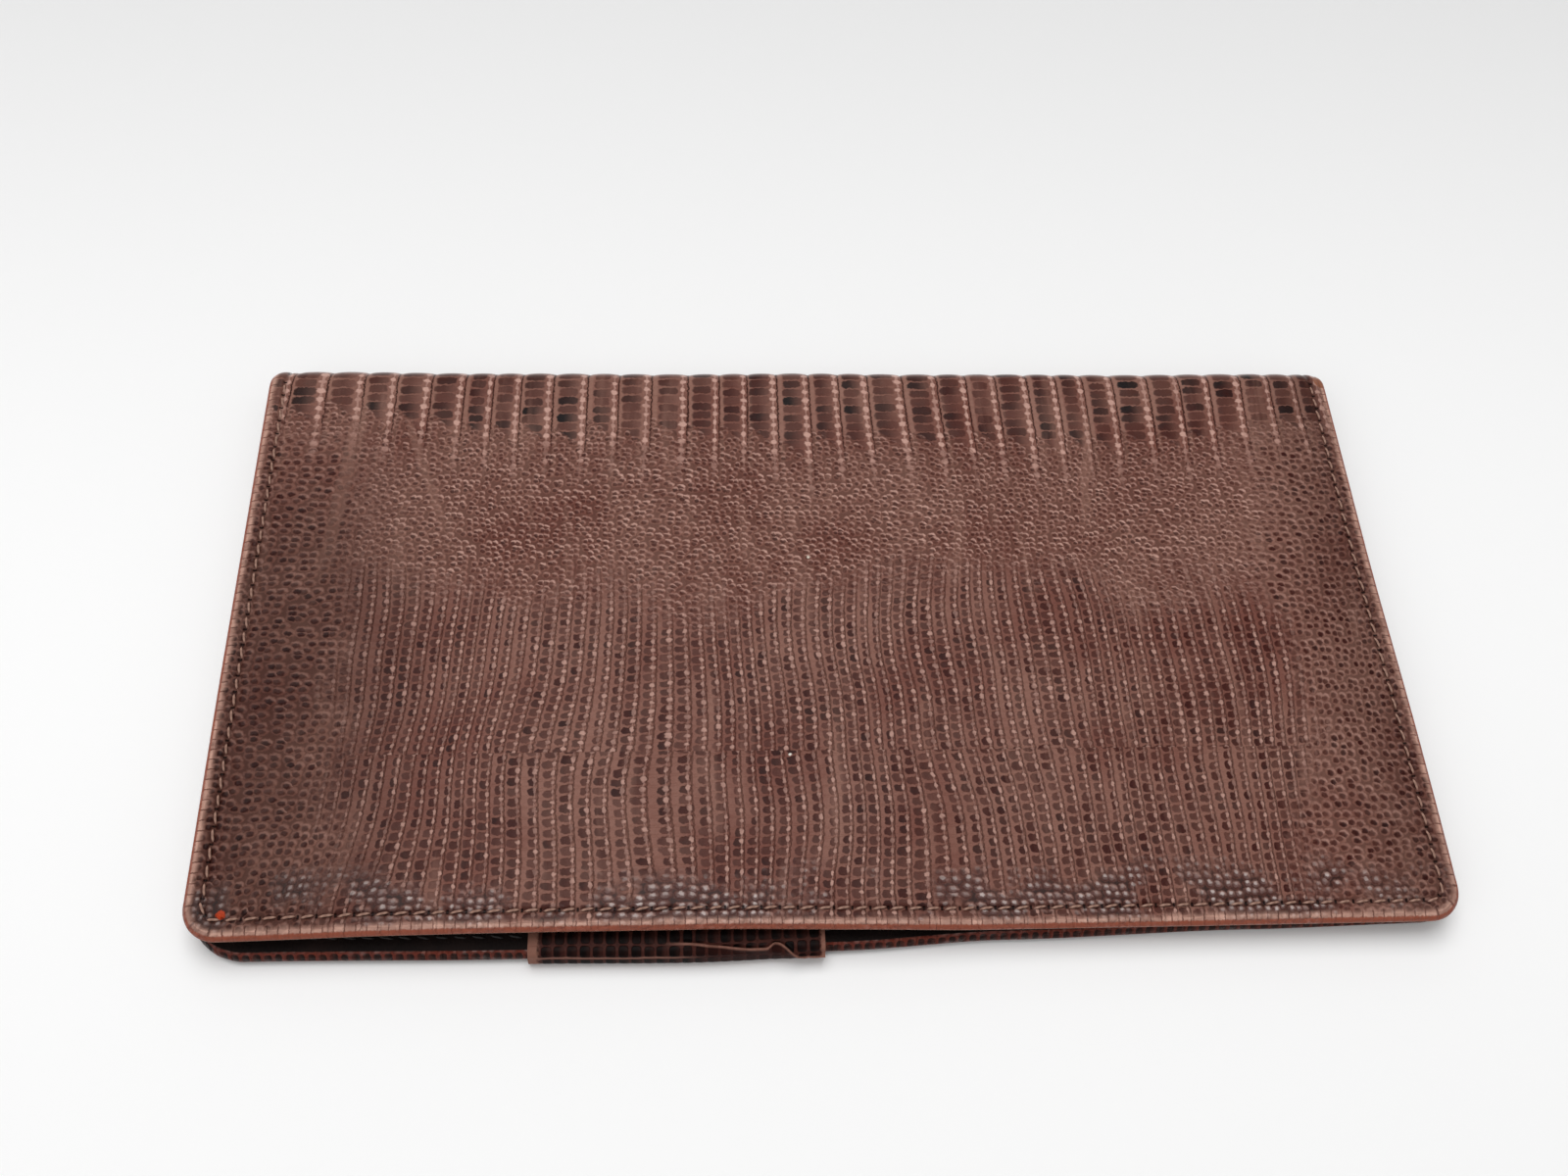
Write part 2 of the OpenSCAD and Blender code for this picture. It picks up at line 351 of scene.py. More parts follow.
@dataclass
class CoverHide:
    """The outer hide of one cover with half of the spine, and the edge turned in on three sides."""

    cover: Cover
    pattern: HidePattern = HidePattern()
    step: float = 0.47
    corner_steps: int = 12

    def profile(self) -> tuple[Array, Array, Array]:
        """The turned edge's section, from the flat round the edge to the hem's end and back under the hide.

        Returns:
            Inset from the edge, depth under the outer face, and length along the section, in mm.
        """
        s = self.cover.sizes
        inner = s.hem[1]
        nose = inner / 2
        swell = 1.75
        flat = np.array([s.corner, 4.4, 3.9, 3.5, 3.25, 3.0, 2.8, 2.6, 2.4, 2.15])
        dip = 0.26 * np.exp(-((flat - s.seam_inset) / 0.34) ** 2) - 0.07 * np.exp(-((flat - 2.0) / 0.5) ** 2)
        upper = np.linspace(0.0, math.pi / 2, 8)
        lower = np.linspace(math.pi / 2, math.pi, 7)[1:]
        inset = np.concatenate([
            flat, swell * (1 - np.sin(upper)), nose * (1 - np.sin(lower)),
            [3.0, s.corner, s.corner, 3.0, 1.3, 0.85, 0.85, 1.6, s.corner]])
        depth = np.concatenate([
            dip, nose * (1 - np.cos(upper)) - 0.07 * np.cos(upper), nose * (1 - np.cos(lower)),
            [inner, inner, s.hem[0] + 0.02, s.hem[0] + 0.02, s.hem[0] - 0.1, s.board[1], s.skin + 0.15, s.skin, s.skin]])
        along = np.concatenate([[0.0], np.cumsum(np.hypot(np.diff(inset), np.diff(depth)))])
        return inset, depth, along

    def build(self, name: str) -> bpy.types.Object:
        """Builds the hide as one closed mesh.

        The middle is a grid over the pattern. Round it the section is carried along the side, the corner, the
        front, the other corner and the other side. At a corner the section turns about one point of the grid.
        The underside, which nothing shows, is closed with one face to each row.
        """
        s, cover = self.cover.sizes, self.cover
        side = s.half_width - s.corner
        xs = np.linspace(-side, side, int(round(2 * side / self.step)) + 1)
        ds = np.linspace(s.corner, cover.reach, int(round((cover.reach - s.corner) / self.step)) + 1)
        rows, columns = len(ds), len(xs)
        grid = np.arange(rows * columns).reshape(rows, columns)
        turn = np.linspace(0.0, math.pi / 2, self.corner_steps + 2)[1:-1]
        ones = np.ones
        # stations round the three sides: base point, direction outwards, and the grid's vertex there
        base_x = np.concatenate([-side * ones(rows), -side * ones(len(turn)), xs, side * ones(len(turn)), side * ones(rows)])
        base_d = np.concatenate([ds[::-1], s.corner * ones(len(turn)), s.corner * ones(columns),
                                 s.corner * ones(len(turn)), ds])
        out_x = np.concatenate([-ones(rows), -np.cos(turn), 0 * xs, np.sin(turn), ones(rows)])
        out_d = np.concatenate([np.zeros(rows), -np.sin(turn), -ones(columns), -np.cos(turn), np.zeros(rows)])
        first = np.concatenate([grid[::-1, 0], np.full(len(turn), grid[0, 0]), grid[0],
                                np.full(len(turn), grid[0, -1]), grid[:, -1]])
        inset, depth, along = self.profile()
        stations, steps = len(base_x), len(inset)
        reach = s.corner - inset
        rim_x = base_x[:, None] + out_x[:, None] * reach
        rim_d = base_d[:, None] + out_d[:, None] * reach
        rim_h = np.broadcast_to(depth, rim_x.shape)
        # numbers of the section's points: the first is the grid's own, the last is shared where the base is
        index = np.empty((stations, steps), int)
        index[:, 0] = first
        index[:, 1:] = rows * columns + np.arange(stations * (steps - 1)).reshape(stations, steps - 1)
        _, shared = np.unique(first, return_index=True)
        last = {int(first[k]): int(index[k, -1]) for k in shared}
        index[:, -1] = [last[int(f)] for f in first]
        quads = np.concatenate([grid_faces(grid)[:, ::-1], grid_faces(index)])
        faces = tidy_faces(quads)
        under_left, under_right = index[:rows, -1][::-1], index[-rows:, -1]
        front_start = rows + len(turn)
        under_front = index[front_start:front_start + columns, -1]
        faces.append(under_front.tolist() + [int(under_right[1]), int(under_left[1])])
        faces += np.stack([under_left[1:-1], under_right[1:-1], under_right[2:], under_left[2:]], axis=-1).tolist()
        faces.append(index[0, 1:].tolist()[::-1] + grid[-1].tolist() + index[-1, 1:].tolist())
        # every vertex as pattern coordinates
        grid_x, grid_d = np.meshgrid(xs, ds)
        x = np.concatenate([grid_x.ravel(), rim_x[:, 1:].ravel()])
        d = np.concatenate([grid_d.ravel(), rim_d[:, 1:].ravel()])
        h = np.concatenate([np.zeros(rows * columns), rim_h[:, 1:].ravel()])
        skin_x = np.concatenate([grid_x.ravel(), (base_x[:, None] + out_x[:, None] * along)[:, 1:].ravel()])
        skin_d = np.concatenate([grid_d.ravel(), (base_d[:, None] + out_d[:, None] * along)[:, 1:].ravel()])
        edge = np.concatenate([np.full(rows * columns, 9.0), np.broadcast_to(inset, rim_x.shape)[:, 1:].ravel()])
        around = np.concatenate([np.zeros(rows * columns), np.broadcast_to(along, rim_x.shape)[:, 1:].ravel()])
        inside = around > 8.9
        u = skin_x + s.half_width
        v = cover.reach - skin_d
        u_rows = rows_coordinate(u, v)
        outer = (1 - inside) * ease(edge, 0.0, 1.4)
        raised = belly_relief(u_rows, v, self.pattern.belly) + hide_waves(u, v) * ease(edge, 1.0, 5.0)
        raised = raised + self.imprint(x, d)
        if cover.side is Side.BACK:
            raised = np.minimum(raised - self.pattern.tallest, 0.0)
        h = h - raised * outer
        sign = 1.0 if cover.side is Side.FRONT else -1.0
        seam = self.seam_length(x, d)
        marks = {
            "hide": np.stack([u_rows, sign * v, u], axis=-1),
            "rim": np.stack([edge, seam, around], axis=-1),
        }
        return Shape(cover.place(x, d, h), faces, marks).to_object(name, smooth_angle=60.0)

    def imprint(self, x: Array, d: Array) -> Array:
        """The faint step that the inner pocket's mouth has pressed through to the upper cover."""
        if self.cover.side is Side.BACK:
            return np.zeros_like(x)
        width = ease(x, -84.0, -76.0) * ease(x, 66.0, 40.0)
        line = self.pattern.imprint + 0.3 * np.sin(x / 21.0)
        return width * (0.09 * np.exp(-((d - line) / 0.7) ** 2) - 0.10 * ease(d, line + 0.6, line - 0.6))

    def seam_length(self, x: Array, d: Array) -> Array:
        """Length along the seam from the middle of the front edge, counted in stitches."""
        s = self.cover.sizes
        side, radius = s.half_width - s.corner, s.corner - s.seam_inset
        across = np.abs(x)
        around = np.arctan2(np.clip(across - side, 0, None), np.clip(s.corner - d, 1e-6, None))
        past_front = across > side
        length = np.where(past_front, side + radius * around + np.clip(d - s.corner, 0, None), across)
        return length / s.stitch


# ---------------------------------------------------------------- seams

@dataclass
class Seam:
    """The thread of one cover's seam, as it lies on one of the cover's faces."""

    cover: Cover
    thread: float = 0.18
    length: float = 0.95
    slant: float = 0.17
    sides: int = 6
    rings: int = 7

    def stations(self, stop: float) -> tuple[Array, Array, Array, Array]:
        """Each stitch's middle and direction in the pattern, on both halves of the seam."""
        s = self.cover.sizes
        side, radius = s.half_width - s.corner, s.corner - s.seam_inset
        corner = radius * math.pi / 2
        total = side + corner + (stop - s.corner)
        lengths = (np.arange(int(total / s.stitch)) + 0.5) * s.stitch
        angle = np.clip((lengths - side) / radius, 0.0, math.pi / 2)
        x = np.where(lengths < side, lengths, side + radius * np.sin(angle))
        d = np.where(lengths < side, s.seam_inset, s.corner - radius * np.cos(angle))
        d = d + np.clip(lengths - side - corner, 0.0, None)
        along_x, along_d = np.cos(angle), np.sin(angle)
        return (np.concatenate([x, -x]), np.concatenate([d, d]),
                np.concatenate([along_x, along_x]), np.concatenate([along_d, -along_d]))

    def build(self, name: str, surface: Callable[[Array, Array], Array], proud: float, stop: float,
              outward: float = -1.0) -> bpy.types.Object:
        """Builds the row of stitches.

        A stitch is a tube along its own axis, thick in the middle and closed at its ends. Its middle stands
        proud of the face and its ends dip into the holes, as 1 - (place along it) squared.

        Args:
            name: the piece's name.
            surface: depth of the face that the thread lies on, at pattern points.
            proud: how far a stitch's middle stands out of that face, in mm.
            stop: where the seam ends, from the front edge, in mm.
            outward: -1 on the cover's outer face, +1 on its inner face.
        """
        rng = np.random.default_rng(7 if outward < 0 else 11)
        x, d, along_x, along_d = self.stations(stop)
        count = len(x)
        slant = self.slant * outward * -1.0 + rng.normal(0, 0.035, count)
        ax = along_x * np.cos(slant) + along_d * np.sin(slant) * -1.0
        ad = along_d * np.cos(slant) + along_x * np.sin(slant)
        t = np.linspace(-1.0, 1.0, self.rings)
        ring = 2 * math.pi * np.arange(self.sides) / self.sides
        half = self.length * (1 + rng.normal(0, 0.05, count))
        thick = self.thread * np.clip(1 - np.abs(t) ** 3.0, 0.08, 1.0) ** 0.5
        across = np.cos(ring)[None, None, :] * thick[None, :, None]
        rise = np.sin(ring)[None, None, :] * thick[None, :, None] * 0.8
        step = (half[:, None] * t[None, :])[:, :, None]
        px = x[:, None, None] + ax[:, None, None] * step - ad[:, None, None] * across
        pd = d[:, None, None] + ad[:, None, None] * step + ax[:, None, None] * across
        middle = proud * (1 - 1.7 * t ** 2)[None, :, None] + rng.normal(0, 0.02, count)[:, None, None]
        ph = surface(px, pd) + outward * (middle + rise)
        points = self.cover.place(px, pd, ph).reshape(-1, 3)
        index = np.arange(count * self.rings * self.sides).reshape(count, self.rings, self.sides)
        index = np.concatenate([index, index[:, :, :1]], axis=2)
        quads = np.stack([index[:, :-1, :-1], index[:, :-1, 1:], index[:, 1:, 1:], index[:, 1:, :-1]], axis=-1)
        ends = np.concatenate([index[:, 0, :-1], index[:, -1, -2::-1]])
        twist = np.broadcast_to(step / 1.0, px.shape).ravel()
        side_mark = np.broadcast_to(ring[None, None, :], px.shape).ravel()
        shape = Shape(points, quads.reshape(-1, 4).tolist() + ends.tolist(),
                      {"twist": np.stack([twist, side_mark, px.ravel()], axis=-1)})
        return shape.to_object(name, smooth_angle=70.0)


# ---------------------------------------------------------------- sheets inside the covers

@dataclass
class Panel:
    """A flat sheet of one cover, between two curves across it and between two depths."""

    cover: Cover
    inset: float
    start: Callable[[Array], Array]
    stop: Callable[[Array], Array]
    depth: tuple[float, float]
    columns: int = 181
    rows: int = 40
    crown: float = 0.0

    def build(self, name: str) -> bpy.types.Object:
        """Builds the sheet: at each x its rows run evenly from the start curve to the stop curve."""
        s = self.cover.sizes
        half = s.half_width - self.inset
        x = half * np.sin(np.linspace(-math.pi / 2, math.pi / 2, self.columns) * 0.999) / math.sin(math.pi / 2 * 0.999)
        t = np.linspace(0.0, 1.0, self.rows)[:, None]
        low, high = self.start(x), self.stop(x)
        d = low + (high - low) * t
        x = np.broadcast_to(x, d.shape)
        swell = self.crown * ease(half - np.abs(x), 0.0, 12.0) * ease(t, 0.0, 0.25) * ease(d, 0.0, 20.0)
        outer = self.cover.place(x, d, np.full_like(d, self.depth[0]))
        inner = self.cover.place(x, d, self.depth[1] + swell)
        edge = np.minimum(high - d, half - np.abs(x))
        marks = {"sheet": np.stack([x, d, edge], axis=-1)}
        return slab(outer, inner, marks).to_object(name, smooth_angle=40.0)


def rounded_start(sizes: Sizes, inset: float) -> Callable[[Array], Array]:
    """A sheet's front edge, at an inset from the cover's own, with its two corners rounded."""
    side, radius = sizes.half_width - sizes.corner, sizes.corner - inset

    def curve(x: Array) -> Array:
        past = np.clip(np.abs(x) - side, 0.0, radius)
        return sizes.corner - np.sqrt(np.clip(radius * radius - past * past, 0.0, None))

    return curve


def notched_mouth(sizes: Sizes, depth: float, trim: float) -> Callable[[Array], Array]:
    """A pocket's mouth: straight, with a thumb notch of a circle's arc in the middle."""
    radius = sizes.notch_radius + trim
    centre = depth + sizes.notch_radius - sizes.notch_depth

    def curve(x: Array) -> Array:
        arc = centre - np.sqrt(np.clip(radius * radius - x * x, 0.0, None))
        return np.minimum(depth - trim, np.where(np.abs(x) < radius, arc, depth))

    return curve


def level(value: float) -> Callable[[Array], Array]:
    """A straight line across the cover at one distance from the front edge."""
    return lambda x: np.full_like(x, value)


# ---------------------------------------------------------------- the tab

@dataclass
class Tab:
    """The closing tab: a strap that stands up round the lower cover's edge and lies back between the covers."""

    sizes: Sizes
    thickness: float = 0.8
    rows: int = 92
    columns: int = 125
    scale_across: float = 1.78
    scale_up: float = 1.95
    first_row: float = 0.50

    def centre_line(self) -> tuple[Array, Array]:
        """The strap's outer face in (y, z): up the cover's edge, round a fold, and back to the tip.

        Returns:
            Points along the line, and their distance from its start, in mm.
        """
        s = self.sizes
        front = s.fold[0] - 0.42
        radius = 1.25
        low = 0.35
        top = s.fold[1] + 0.35
        bend = np.linspace(math.pi, math.pi / 2, 14)
        rise = np.stack([front - 0.22 * np.sin(np.linspace(0, math.pi, 20)), np.linspace(low, top - radius, 20)], axis=-1)
        fold = np.stack([front + radius + radius * np.cos(bend), top - radius + radius * np.sin(bend)], axis=-1)[1:]
        back = np.linspace(front + radius, s.fold[0] + s.tab_length, self.rows - 33 + 1)[1:]
        tongue = np.stack([back, top - 0.12 * ease(back, front + radius, front + 6.0)], axis=-1)
        line = np.concatenate([rise, fold, tongue])
        along = np.concatenate([[0.0], np.cumsum(np.hypot(*np.diff(line, axis=0).T))])
        return line, along

    def build(self, name: str, under: bool) -> bpy.types.Object:
        """Builds the strap's face of hide, or the lining under it.

        The section is the line and its offset by the thickness, and it is carried along X. The tip's corners
        are rounded by ending each column of points on the tip's curve.
        """
        s = self.sizes
        line, along = self.centre_line()
        slope = np.gradient(line, axis=0)
        normal = np.stack([-slope[:, 1], slope[:, 0]], axis=-1)
        normal /= np.linalg.norm(normal, axis=1, keepdims=True)
        x = np.linspace(s.tab_left, s.tab_right, self.columns)
        radius, total = 7.0, along[-1]
        from_end = np.minimum(x - s.tab_left, s.tab_right - x)
        cut = radius - np.sqrt(np.clip(radius ** 2 - np.clip(radius - from_end, 0.0, None) ** 2, 0.0, None))
        reach = np.where(along[:, None] > total - 9.0,
                         total - 9.0 + (along[:, None] - total + 9.0) * (9.0 - cut) / 9.0, along[:, None])
        y = np.interp(reach, along, line[:, 0])
        z = np.interp(reach, along, line[:, 1])
        ny = np.interp(reach, along, normal[:, 0])
        nz = np.interp(reach, along, normal[:, 1])
        xx = np.broadcast_to(x, y.shape)
        lift = np.zeros_like(y) if under else self.relief(xx, reach, from_end)
        face_share = 0.62
        near, far = (face_share, 1.0) if under else (0.0, face_share)
        bow = Cover(Side.BACK, s).settle(xx, np.zeros_like(xx))[0] * ease(reach, 12.0, 3.0)
        outer = np.stack([xx, y + bow - ny * (near * self.thickness - lift), z - nz * (near * self.thickness - lift)], -1)
        inner = np.stack([xx, y + bow - ny * far * self.thickness, z - nz * far * self.thickness], axis=-1)
        edge = np.minimum(np.minimum(from_end[None, :] + 0 * reach, reach), np.clip(total - cut - reach, 0, None))
        crease, share = self.crease(xx, reach)
        marks = {"strap": np.stack([xx - s.tab_left, reach, edge], axis=-1),
                 "crease": np.stack([crease, share, xx], axis=-1)}
        return slab(outer, inner, marks).to_object(name, smooth_angle=50.0)

    def crease(self, x: Array, reach: Array) -> tuple[Array, Array]:
        """Distance from the crease, which falls from the middle of the fold to the right-hand end, and the share across."""
        share = (x - self.sizes.tab_left) / (self.sizes.tab_right - self.sizes.tab_left)
        return reach - (4.5 - 1.2 * ease(share, 0.48, 0.80) + 0.7 * ease(share, 0.80, 0.83)
                        - 2.2 * ease(share, 0.83, 0.93)), share

    def relief(self, x: Array, reach: Array, from_end: Array) -> Array:
        """Height of the strap's face: rows of square scales, and the crease across its front.

        A scale's height is the product of two flattened sines. The crease is a ridge with a hollow beside it.
        """
        across = np.abs(np.sin(math.pi * (x - self.sizes.tab_left) / self.scale_across)) ** 0.35
        up = np.abs(np.sin(math.pi * (reach - self.first_row) / self.scale_up)) ** 0.35
        scales = 0.11 * (across * up - 0.6)
        crease, share = self.crease(x, reach)
        ridge = 0.34 * np.exp(-(crease / 0.28) ** 2) - 0.26 * np.exp(-((crease - 0.65) / 0.45) ** 2)
        twist = 0.35 * ease(share, 0.80, 0.90) * np.exp(-((reach - 2.2) / 1.2) ** 2)
        return (scales * ease(from_end, 0.3, 1.0) + ridge * ease(share, 0.44, 0.58) + twist) * ease(reach, 9.0, 5.5)


# ---------------------------------------------------------------- node trees

class Wire:
    """A value in a node tree. Python's own signs join wires with Math nodes."""

    def __init__(self, graph: "Graph", socket: bpy.types.NodeSocket) -> None:
        """Holds the socket and the graph that it belongs to."""
        self.graph = graph
        self.socket = socket

    def __add__(self, other: Number) -> "Wire":
        """Sum."""
        return self.graph.math("ADD", self, other)

    def __radd__(self, other: Number) -> "Wire":
        """Sum, with a plain number first."""
        return self.graph.math("ADD", other, self)

    def __sub__(self, other: Number) -> "Wire":
        """Difference."""
        return self.graph.math("SUBTRACT", self, other)

    def __rsub__(self, other: Number) -> "Wire":
        """Difference, with a plain number first."""
        return self.graph.math("SUBTRACT", other, self)

    def __mul__(self, other: Number) -> "Wire":
        """Product."""
        return self.graph.math("MULTIPLY", self, other)

    def __rmul__(self, other: Number) -> "Wire":
        """Product, with a plain number first."""
        return self.graph.math("MULTIPLY", other, self)

    def __truediv__(self, other: Number) -> "Wire":
        """Quotient."""
        return self.graph.math("DIVIDE", self, other)

    def __pow__(self, other: Number) -> "Wire":
        """Power."""
        return self.graph.math("POWER", self, other)

    def floor(self) -> "Wire":
        """Whole part."""
        return self.graph.math("FLOOR", self)

    def fract(self) -> "Wire":
        """Part after the point."""
        return self.graph.math("FRACT", self)

    def size(self) -> "Wire":
        """Value without its sign."""
        return self.graph.math("ABSOLUTE", self)

    def least(self, other: Number) -> "Wire":
        """The smaller of two."""
        return self.graph.math("MINIMUM", self, other)

    def most(self, other: Number) -> "Wire":
        """The larger of two."""
        return self.graph.math("MAXIMUM", self, other)

    def sine(self) -> "Wire":
        """Sine of an angle in radians."""
        return self.graph.math("SINE", self)

    def ease(self, low: Number, high: Number) -> "Wire":
        """Smooth step from 0 at low to 1 at high."""
        node = self.graph.node("ShaderNodeMapRange")
        node.interpolation_type = "SMOOTHSTEP"
        self.graph.feed(node.inputs[0], self)
        self.graph.feed(node.inputs[1], low)
        self.graph.feed(node.inputs[2], high)
        return Wire(self.graph, node.outputs[0])


class Graph:
    """A node tree under construction."""

    def __init__(self, tree: bpy.types.NodeTree) -> None:
        """Holds the tree."""
        self.tree = tree

    def node(self, kind: str) -> bpy.types.Node:
        """Adds a node of the given kind."""
        return self.tree.nodes.new(kind)

    def feed(self, socket: bpy.types.NodeSocket, value: "Wire | float | Sequence[float]") -> None:
        """Links a wire to a socket, or sets the socket to a plain value."""
        if isinstance(value, Wire):
            self.tree.links.new(value.socket, socket)
        else:
            socket.default_value = value

    def math(self, operation: str, first: Number, second: Number = 0.0) -> Wire:
        """A Math node."""
        node = self.node("ShaderNodeMath")
        node.operation = operation
        self.feed(node.inputs[0], first)
        self.feed(node.inputs[1], second)
        return Wire(self, node.outputs[0])

    def join(self, x: Number = 0.0, y: Number = 0.0, z: Number = 0.0) -> Wire:
        """A vector of three values."""
        node = self.node("ShaderNodeCombineXYZ")
        for socket, value in zip(node.inputs, (x, y, z)):
            self.feed(socket, value)
        return Wire(self, node.outputs[0])

    def split(self, vector: Wire) -> tuple[Wire, Wire, Wire]:
        """The three values of a vector."""
        node = self.node("ShaderNodeSeparateXYZ")
        self.feed(node.inputs[0], vector)
        return tuple(Wire(self, output) for output in node.outputs)

    def mark(self, name: str) -> Wire:
        """A vector that the mesh holds at each vertex."""
        node = self.node("ShaderNodeAttribute")
        node.attribute_name = name
        return Wire(self, node.outputs["Vector"])

    def place(self) -> Wire:
        """Object coordinates."""
        return Wire(self, self.node("ShaderNodeTexCoord").outputs["Object"])

    def noise(self, vector: Wire, scale: float, detail: float = 2.0, rough: float = 0.5) -> Wire:
        """Noise between 0 and 1."""
        node = self.node("ShaderNodeTexNoise")
        self.feed(node.inputs["Vector"], vector)
        self.feed(node.inputs["Scale"], scale)
        self.feed(node.inputs["Detail"], detail)
        self.feed(node.inputs["Roughness"], rough)
        return Wire(self, node.outputs[0])

    def dice(self, vector: Wire) -> tuple[Wire, Wire, Wire]:
        """Three random values, the same wherever the vector is the same."""
        node = self.node("ShaderNodeTexWhiteNoise")
        node.noise_dimensions = "3D"
        self.feed(node.inputs["Vector"], vector)
        return self.split(Wire(self, node.outputs["Color"]))

    def mix(self, share: Number, first: "Wire | Sequence[float]", second: "Wire | Sequence[float]",
            blend: str = "MIX") -> Wire:
        """A mix of two colours."""
        node = self.node("ShaderNodeMix")
        node.data_type = "RGBA"
        node.blend_type = blend
        node.clamp_factor = True
        self.feed(node.inputs[0], share)
        self.feed(node.inputs[6], first)
        self.feed(node.inputs[7], second)
        return Wire(self, node.outputs[2])

    def blend(self, share: Number, first: Number, second: Number) -> Wire:
        """A mix of two numbers."""
        node = self.node("ShaderNodeMix")
        self.feed(node.inputs[0], share)
        self.feed(node.inputs[2], first)
        self.feed(node.inputs[3], second)
        return Wire(self, node.outputs[0])

    def group(self, tree: bpy.types.NodeTree, **values: "Number | Sequence[float]") -> dict[str, Wire]:
        """Places a node group, feeds its inputs by name, and gives its outputs by name."""
        node = self.node("ShaderNodeGroup")
        node.node_tree = tree
        for name, value in values.items():
            self.feed(node.inputs[name.replace("_", " ").capitalize()], value)
        return {output.name: Wire(self, output) for output in node.outputs}


class Recipe:
    """A shader node group under construction, with named inputs and outputs."""

    def __init__(self, name: str, inputs: dict[str, str], outputs: dict[str, str]) -> None:
        """Makes the group and its sockets; the dicts give each socket's name and kind."""
        self.tree = bpy.data.node_groups.new(name, "ShaderNodeTree")
        for label, kind in inputs.items():
            self.tree.interface.new_socket(label, in_out="INPUT", socket_type=kind)
        for label, kind in outputs.items():
            self.tree.interface.new_socket(label, in_out="OUTPUT", socket_type=kind)
        self.graph = Graph(self.tree)
        start = self.graph.node("NodeGroupInput")
        self.inputs = {output.name: Wire(self.graph, output) for output in start.outputs if output.name}
        self.end = self.graph.node("NodeGroupOutput")

    def give(self, **values: Wire) -> bpy.types.NodeTree:
        """Feeds the outputs by name, and gives the finished group."""
        for name, value in values.items():
            self.graph.feed(self.end.inputs[name.replace("_", " ").capitalize()], value)
        return self.tree


def paint(code: str) -> tuple[float, float, float, float]:
    """A colour written as six hex digits, made linear."""
    parts = [int(code[k:k + 2], 16) / 255 for k in (0, 2, 4)]
    linear = [p / 12.92 if p <= 0.04045 else ((p + 0.055) / 1.055) ** 2.4 for p in parts]
    return (*linear, 1.0)


NUMBER, COLOUR, VECTOR = "NodeSocketFloat", "NodeSocketColor", "NodeSocketVector"


def scale_field() -> bpy.types.NodeTree:
    """Group: rows of scales. Each scale has a plain band at its left, a dark cell, and a pale bead on its right towards
    the spine, which is partly the scale's own pale colour and partly a painted highlight on the rim that faces the
    light.

    Across and along give the place on the hide in mm, and width and length the size of a scale. Band and bead
    are shares of the width, and inner is how much of the bead the cell leaves free. A cell is a square with rounded
    corners, as the sum of two high powers.
    """
    recipe = Recipe(
        "Scale field",
        {"Across": NUMBER, "Along": NUMBER, "Width": NUMBER, "Length": NUMBER, "Band": NUMBER,
         "Bead": NUMBER, "Inner": NUMBER, "Stagger": NUMBER, "Seed": NUMBER},
        {"Cell": NUMBER, "Bead": NUMBER, "Groove": NUMBER, "Height": NUMBER, "Chance": NUMBER})
    graph, given = recipe.graph, recipe.inputs
    column = given["Across"] / given["Width"]
    number, share = column.floor(), column.fract()
    shift, broad, _ = graph.dice(graph.join(number, given["Seed"], 3.0))
    along = given["Along"] / given["Length"] + ((number * 0.5).fract() + shift * 1.2) * given["Stagger"]
    row, rise = along.floor(), along.fract()
    chance, wide, tall = graph.dice(graph.join(number, row, given["Seed"]))
    band = given["Band"] * (0.45 + broad * 1.1)
    room = 0.95 - band - given["Bead"] * given["Inner"]
    dx = (share - band - room * 0.5).size() / (room * (0.42 + wide * 0.10))
    dy = (rise - 0.5).size() / (0.34 + tall * 0.09 + given["Inner"] * 0.055)
    power = 2.3 + given["Inner"] * 1.6
    cell = (dx ** power + dy ** power).ease(1.35, 0.60)
    # the bead: partly the scale's own pale colour, partly a painted highlight on the rim that faces the light
    bead_x = (share - (0.95 - given["Bead"] * 0.5)) / (given["Bead"] * (0.40 + tall * 0.24))
    bead_y = (rise - 0.28 - wide * 0.12) / (0.24 + chance * 0.14)
    far = bead_x * bead_x + bead_y * bead_y
    bead = far.ease(1.25, 0.35) * (0.45 + wide.ease(0.05, 0.40) * 0.55)
    cell = cell.most(far.ease(3.4, 1.6) * (1.0 - given["Inner"]) * 0.85)
    bead = bead.most((bead_x * 2.6).size().ease(1.1, 0.5) * 0.45)
    cell = cell * (1.0 - (share - 0.30).ease(0.0, 0.5) * given["Inner"] * wide * 0.75)
    groove = (share.least(1.0 - share) * given["Width"]).ease(0.14, 0.03)
    height = cell * 0.35 + bead * 0.60 + (1.0 - cell) * 0.30 - groove * 0.65 - (dy - 1.0).size().ease(0.22, 0.05) * 0.2
    return recipe.give(cell=cell, bead=bead, groove=groove, height=height, chance=chance)


